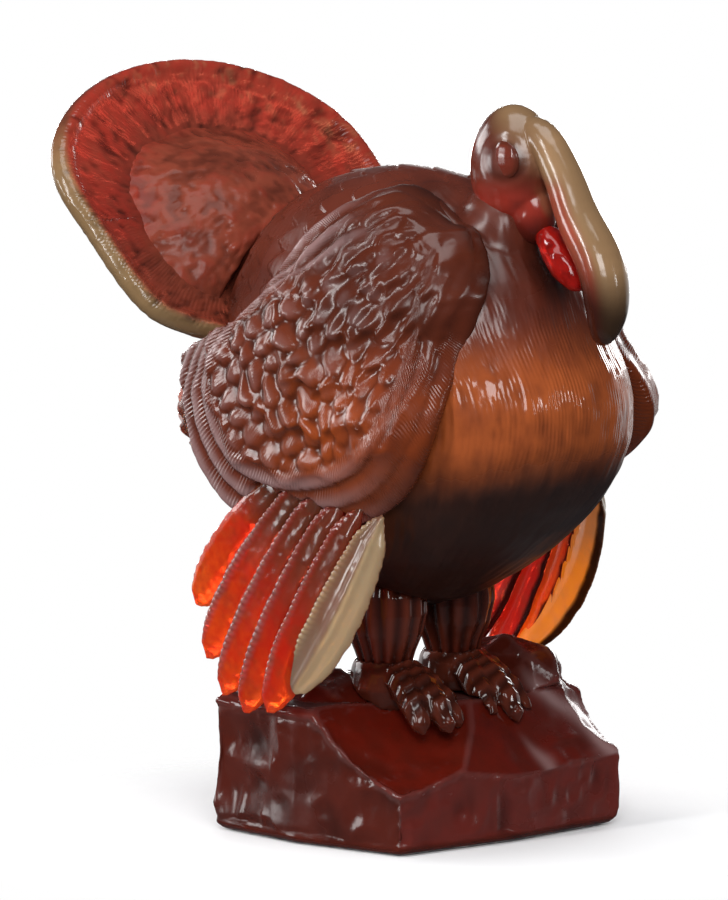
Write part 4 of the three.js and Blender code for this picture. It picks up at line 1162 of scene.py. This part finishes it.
class TURKEY_OT_head(bpy.types.Operator):
    """Sculpt the head, the eyes, the snood and the wattle"""

    bl_idname = "turkey.head"
    bl_label = "Head"

    HALF_HEIGHT = 12.0
    BALL_RINGS, BALL_STEPS = 24, 36
    THROAT = np.array([0.0, -4.7, -7.6])
    THROAT_HALF = np.array([4.4, 5.0, 6.4])
    # Y and Z of the snood's middle line, from the head's centre
    SNOOD_PATH = (
        (1.0, 7.6), (-7.0, 6.4), (-12.6, 0.0), (-17.0, -8.0), (-22.4, -15.6), (-24.2, -23.4), (-22.8, -31.0)
    )
    SNOOD_RADIUS = 4.1
    SNOOD_RINGS, SNOOD_STEPS = 40, 28
    SNOOD_SPOTS = 120
    SNOOD_ROOT = 0.6
    EYE_RING = (5.4, 0.9)  # distance from the eye's middle and width
    EYE_RING_LIFT = 0.06
    EYE_GROOVE = (4.1, 0.9)
    EYE_GROOVE_DEPTH = 0.1
    EYE_SOCKET = (3.0, 0.9)
    EYE_PATCH = (0.0, 6.5)
    EYE_MATT = (0.0, 8.0)
    EYE_GRAIN = 0.2
    EYE_INSET = (0.92, 1.0, 1.0)
    EYE_STRETCH = (0.45, 1.6, 1.6)
    FOLDS = np.array([4.0, 4.0, 2.2])
    FOLD_DEPTH = 0.18
    # Zones of the head, from its centre
    FOLD_Y = np.array([-10.0, -7.0])
    FOLD_Z = np.array([-1.0, -6.0])
    BROW = (6.0, 14.0)
    CROWN = (4.0, 10.0)
    CHEEK = (0.0, -6.0)
    CHIN = (-6.0, -12.0)
    WATTLE_HALF = np.array([3.4, 3.1, 7.8])
    WATTLE_LEAN = math.radians(45)
    WATTLE_SHIFT = (0.0, 0.4, -0.6)
    WATTLE_BUMP = 0.22

    def execute(self, context):
        low, high = corners("head")
        half = np.array([(high[0] - low[0]) / 2, (high[1] - low[1]) / 2, self.HALF_HEIGHT])
        centre = np.array([0.0, (low[1] + high[1]) / 2, high[2] - half[2]])
        throat = self.ball(centre + self.THROAT, self.THROAT_HALF)
        skin = wrapped([self.ball(centre, half), self.snood(centre), throat], sizes().fine_skin)
        skin.smooth(30)
        self.relief(skin, centre)
        head, snood = split(skin, centre + np.array([0, -half[1] + self.SNOOD_ROOT, 0]), (0, -1, 0))
        place(head, "bare_head", "head", head_glass())
        place(snood, "hanging_snood", "snood", head_glass())
        for side in SIDES:
            self.eye(side)
        self.wattle()
        return {"FINISHED"}

    def ball(self, centre, half):
        level = np.linspace(0, math.pi, self.BALL_RINGS + 1)[1:-1, None]
        turn = np.linspace(0, math.tau, self.BALL_STEPS, endpoint=False)
        around = [np.sin(level) * np.cos(turn), np.sin(level) * np.sin(turn)]
        unit = np.stack([*around, np.repeat(np.cos(level), self.BALL_STEPS, 1)], 2)
        top = np.array([0, 0, half[2]])
        return ring_mesh(centre + top, centre + unit * half, centre - top)

    def snood(self, centre):
        share = (1 - np.cos(np.linspace(0, math.pi, self.SNOOD_RINGS + 1))) / 2
        line, side, up = self.snood_line(centre, share)
        swelling = 1 + 0.12 * np.sin(math.tau * (share - 0.45))
        radius = self.SNOOD_RADIUS * swelling * np.sqrt(np.maximum(0, 1 - np.abs(2 * share - 1) ** 5))
        turn = np.linspace(0, math.tau, self.SNOOD_STEPS, endpoint=False)
        ring = np.cos(turn)[None, :, None] * side + np.sin(turn)[None, :, None] * up[:, None, :]
        points = line[:, None, :] + ring * radius[:, None, None]
        return ring_mesh(line[0], points[1:-1], line[-1])

    def snood_line(self, centre, share):
        """Middle line of the snood with its directions to the side and outwards."""
        path = np.array([(0.0, y, z) for y, z in self.SNOOD_PATH]) + centre
        line = curve_through(path, share)
        tangent = np.gradient(line, axis=0)
        tangent /= np.linalg.norm(tangent, axis=1)[:, None]
        side = np.array([1.0, 0.0, 0.0])
        return line, side, np.cross(side, tangent)

    def on_snood(self, points, centre):
        """Share of the way down the snood, place across it, up to 1 on its outer side, and distance from its
        middle line in radii."""
        share = np.linspace(0, 1, self.SNOOD_SPOTS)
        line, _, up = self.snood_line(centre, share)
        nearest = np.array([np.argmin(((line - point) ** 2).sum(1)) for point in points])
        away = (points - line[nearest]) / self.SNOOD_RADIUS
        return share[nearest], -(away * up[nearest]).sum(1), np.linalg.norm(away, axis=1)

    def relief(self, skin, centre):
        """Models the rings round the eyes and the folds of the throat, and paints the head and the snood,
        with painted shade in the eye sockets, under the chin and at the snood's tip.
        """
        x, y, z = skin.points.T
        eye = middle_of("left_eye")
        reach = np.linalg.norm(np.stack([np.abs(x) - eye[0], y - eye[1], z - eye[2]], 1), axis=1)
        ring = self.EYE_RING_LIFT * bell(reach, *self.EYE_RING)
        ring -= self.EYE_GROOVE_DEPTH * bell(reach, *self.EYE_GROOVE)
        folds = self.FOLD_DEPTH * skin.noise(self.FOLDS, 71) * ramp(z, *(centre[2] + self.FOLD_Z))
        skin.lift(ring + folds * ramp(y, *(centre[1] + self.FOLD_Y)))
        above = z - centre[2]
        along, across, away = self.on_snood(skin.points, centre)
        brow = ramp(centre[1] - y + 1.1 * above, *self.BROW)
        hanging = ramp(along, 0.3, 0.42) * ramp(away, 1.7, 1.3)
        inner = ramp(across, 0.85, 0.15) * hanging
        outer = ramp(across, 0.4, 0.95) * window(along, 0.1, 0.3, 0.6, 0.8)
        tip = ramp(along - 0.06 * across, 0.58, 0.84)
        cheek = ramp(above, *self.CHEEK) * (1 - hanging)
        crown = ramp(above, *self.CROWN)
        chin = ramp(above, *self.CHIN) * ramp(away, 1.2, 1.6)
        socket = bell(reach, *self.EYE_SOCKET)
        patch = bell(reach, *self.EYE_PATCH)
        skin.mask("pale", np.maximum(brow, hanging) * (1 - 0.8 * inner) * (1 - 0.8 * patch))
        skin.mask("warm", 0.65 * cheek, 0.8 * inner)
        # Painted shade at the snood's tip, in the eye sockets and under the chin; the snood's outer side and
        # the crown are darker too.
        skin.mask("deep", 0.9 * tip, 0.3 * outer, 0.35 * crown, 0.35 * socket, 0.7 * chin)
        skin.mask("matt", 0.2 * bell(reach, *self.EYE_MATT))
        skin.soften_masks()
        skin.soften_masks()

    def eye(self, side):
        node = side + "_eye"
        skin = node_skin(node, self.EYE_GRAIN * MM, 20)
        middle = skin.points.mean(0)
        out = np.abs(skin.points[:, 0]) - abs(middle[0])
        skin.points = middle * self.EYE_INSET + (skin.points - middle) * self.EYE_STRETCH
        skin.mask("deep", 0.2 * ramp(out, 1.5, 0.9))
        skin.mask("warm", 0.12 * ramp(out, 0.8, 1.8))
        place(skin, side + "_eye_bead", node, head_glass())

    def wattle(self):
        skin = wrapped([self.ball(np.zeros(3), self.WATTLE_HALF)], sizes().fine_skin)
        cos, sin = math.cos(self.WATTLE_LEAN), math.sin(self.WATTLE_LEAN)
        x, y, z = skin.points.T
        leaned = np.stack([x, y * cos + z * sin, z * cos - y * sin], 1)
        skin.points = leaned + middle_of("wattle") + self.WATTLE_SHIFT
        bumps = skin.noise(1.6, 81) + 0.6 * skin.noise(3.0, 82)
        skin.lift(self.WATTLE_BUMP * bumps)
        # Painted shade in the hollows between the bumps.
        skin.mask("deep", 0.35 * ramp(bumps, -0.3, -1.0))
        skin.mask("warm", 0.3 * ramp(bumps, 0.2, 1.0))
        place(skin, "red_wattle", "wattle", wattle_glass())


class TURKEY_OT_stage(bpy.types.Operator):
    """Set the pale floor, the soft studio lights, the white surroundings and the camera"""

    bl_idname = "turkey.stage"
    bl_label = "Studio"

    AIM = (0.003, 0.0126, 0.0698)
    AZIMUTH = -45.0
    ELEVATION = 8.9
    DISTANCE = 5.0
    LENS_PER_METRE = 213.0
    CLIP_START = 0.01
    FLOOR_HALF = 1.2
    FLOOR_COLOUR = (0.93, 0.93, 0.93, 1.0)
    FLOOR_ROUGHNESS = 0.9
    FLOOR_SHINE = 0.1
    FLOOR_FADE = (0.042, 0.1)
    FLOOR_MIRRORED = 0.08
    AMBIENT_COLOUR = (0.92, 0.94, 1.0, 1.0)
    AMBIENT = 0.3
    ROOM_COLOUR = (0.85, 0.87, 1.0, 1.0)
    ROOM = 0.05
    WHITE = (1.0, 1.0, 1.0, 1.0)
    BACKDROP_WAY = (0.7, 0.7, 0.1)
    BACKDROP_EDGE = (0.2, 0.7)
    SHEET_TOP = (0.26, 0.1)
    SHEET_FOOT = (-0.35, -0.15)
    # Name, place, aim, size and power of each lamp, in metres and watts
    LIGHTS = (
        ("Overhead softbox", (-0.1, -0.1, 0.75), (0.0, 0.0, 0.07), (0.5, 0.5), 2.9),
        ("Rear softbox", (-0.2, 0.8, 0.32), (0.0, 0.0, 0.08), (0.4, 0.3), 2.6),
        ("Low left softbox", (-0.6, 0.55, 0.12), (0.0, 0.0, 0.05), (0.2, 0.2), 1.4),
        ("Left strip", (-0.72, 0.05, 0.42), (0.0, -0.02, 0.09), (0.05, 0.5), 2.8),
        ("Front fill", (-0.55, -0.6, 0.5), (0.0, 0.0, 0.08), (0.35, 0.35), 3.6),
        ("Breast glint", (0.12, -0.6, 0.24), (0.0, -0.03, 0.09), (0.03, 0.12), 0.28),
        ("Back glow", (0.45, 0.5, 0.05), (0.0, 0.03, 0.05), (0.3, 0.1), 2.0),
        ("Ledge softbox", (0.55, 0.15, 0.17), (0.03, -0.02, 0.02), (0.25, 0.12), 0.9),
    )

    def execute(self, context):
        self.floor()
        self.world()
        for light in self.LIGHTS:
            self.light(*light)
        self.camera()
        context.scene.view_settings.view_transform = "Standard"
        return {"FINISHED"}

    def floor(self):
        half = self.FLOOR_HALF
        mesh = bpy.data.meshes.new("floor")
        corner_points = [(-half, -half, 0), (half, -half, 0), (half, half, 0), (-half, half, 0)]
        mesh.from_pydata(corner_points, [], [(0, 1, 2, 3)])
        mesh.materials.append(self.floor_paint())
        floor = new_object("floor", mesh)

    def floor_paint(self):
        """A pale matt sheet that fades into the white surroundings."""
        material = bpy.data.materials.new("Pale floor")
        material.use_nodes = True
        nodes = Nodes(material.node_tree)
        shader = material.node_tree.nodes["Principled BSDF"]
        nodes.fill(shader, {"Base Color": self.FLOOR_COLOUR, "Roughness": self.FLOOR_ROUGHNESS})
        nodes.fill(shader, {"Specular IOR Level": self.FLOOR_SHINE})
        reach = nodes.add("ShaderNodeVectorMath", operation="LENGTH")
        nodes.link(nodes.object_spot(), reach.inputs[0])
        fade = nodes.remap(reach.outputs["Value"], *self.FLOOR_FADE)
        mirrored = nodes.add("ShaderNodeLightPath").outputs["Is Glossy Ray"]
        dimmed = nodes.math("MULTIPLY", mirrored, 1.0 - self.FLOOR_MIRRORED)
        clear = nodes.add("ShaderNodeBsdfTransparent")
        faded = nodes.mix_shader(nodes.math("MAXIMUM", fade, dimmed), shader, clear)
        nodes.link(faded.outputs[0], material.node_tree.nodes["Material Output"].inputs["Surface"])
        return material

    def world(self):
        """White to the camera, a white sheet behind the figure to glass, and a dim room elsewhere."""
        world = bpy.data.worlds.new("White surroundings")
        world.use_nodes = True
        nodes = Nodes(world.node_tree)
        ambient = world.node_tree.nodes["Background"]
        nodes.fill(ambient, {"Color": self.AMBIENT_COLOUR, "Strength": self.AMBIENT})
        room = nodes.add("ShaderNodeBackground")
        nodes.fill(room, {"Color": self.ROOM_COLOUR, "Strength": self.ROOM})
        white = nodes.add("ShaderNodeBackground")
        nodes.fill(white, {"Color": self.WHITE})
        way = nodes.add("ShaderNodeTexCoord").outputs["Generated"]
        ahead = nodes.add("ShaderNodeVectorMath", operation="DOT_PRODUCT")
        nodes.fill(ahead, {0: way, 1: self.BACKDROP_WAY})
        sheet = nodes.remap(ahead.outputs["Value"], *self.BACKDROP_EDGE)
        level = nodes.add("ShaderNodeSeparateXYZ")
        nodes.link(way, level.inputs[0])
        low = nodes.remap(level.outputs["Z"], *self.SHEET_TOP)
        high = nodes.remap(level.outputs["Z"], *self.SHEET_FOOT)
        mirrored = nodes.math("MULTIPLY", nodes.math("MULTIPLY", low, high), sheet)
        rays = nodes.add("ShaderNodeLightPath").outputs
        through = nodes.math("MULTIPLY", rays["Is Transmission Ray"], sheet)
        reflected = nodes.math("MULTIPLY", rays["Is Glossy Ray"], mirrored)
        seen = nodes.math("MAXIMUM", nodes.math("MAXIMUM", through, reflected), rays["Is Camera Ray"])
        glass_ray = nodes.math("MAXIMUM", rays["Is Transmission Ray"], rays["Is Glossy Ray"])
        surroundings = nodes.mix_shader(seen, nodes.mix_shader(glass_ray, ambient, room), white)
        nodes.link(surroundings.outputs[0], world.node_tree.nodes["World Output"].inputs["Surface"])
        bpy.context.scene.world = world

    def light(self, name, spot, aim, size, power):
        data = bpy.data.lights.new(name, "AREA")
        data.shape = "RECTANGLE"
        data.size, data.size_y = size
        data.energy = power
        lamp = new_object(name, data)
        lamp.location = spot
        lamp.rotation_euler = (Vector(aim) - Vector(spot)).to_track_quat("-Z", "Y").to_euler()

    def camera(self):
        data = bpy.data.cameras.new("Camera")
        data.lens = self.LENS_PER_METRE * self.DISTANCE
        data.clip_start = self.CLIP_START
        azimuth, elevation = math.radians(self.AZIMUTH), math.radians(self.ELEVATION)
        level = math.cos(elevation)
        back = Vector((math.sin(azimuth) * level, -math.cos(azimuth) * level, math.sin(elevation)))
        camera = new_object("Camera", data)
        camera.location = Vector(self.AIM) + back * self.DISTANCE
        camera.rotation_euler = (-back).to_track_quat("-Z", "Y").to_euler()
        bpy.context.scene.camera = camera


OPERATORS = [
    TURKEY_OT_rock,
    TURKEY_OT_legs,
    TURKEY_OT_body,
    TURKEY_OT_wings,
    TURKEY_OT_feathers,
    TURKEY_OT_tail,
    TURKEY_OT_head,
    TURKEY_OT_stage,
]


class TURKEY_PT_panel(bpy.types.Panel):
    """Lists the pieces of the figure and its sizes and colours"""

    bl_idname = "TURKEY_PT_panel"
    bl_label = "Glass Turkey"
    bl_space_type = "VIEW_3D"
    bl_region_type = "UI"
    bl_category = "Turkey"

    def draw(self, context):
        for operator in OPERATORS:
            self.layout.operator(operator.bl_idname)
        for group in (context.scene.turkey_sizes, context.scene.turkey_colours):
            for name in group.__annotations__:
                self.layout.prop(group, name)


CLASSES = [TurkeySizes, TurkeyColours, *OPERATORS, TURKEY_PT_panel]


def register():
    for item in CLASSES:
        bpy.utils.register_class(item)
    bpy.types.Scene.turkey_sizes = bpy.props.PointerProperty(type=TurkeySizes)
    bpy.types.Scene.turkey_colours = bpy.props.PointerProperty(type=TurkeyColours)


def unregister():
    del bpy.types.Scene.turkey_colours
    del bpy.types.Scene.turkey_sizes
    for item in reversed(CLASSES):
        bpy.utils.unregister_class(item)


def main():
    register()
    for operator in OPERATORS:
        group, name = operator.bl_idname.split(".")
        getattr(getattr(bpy.ops, group), name)()


if __name__ == "__main__":
    main()
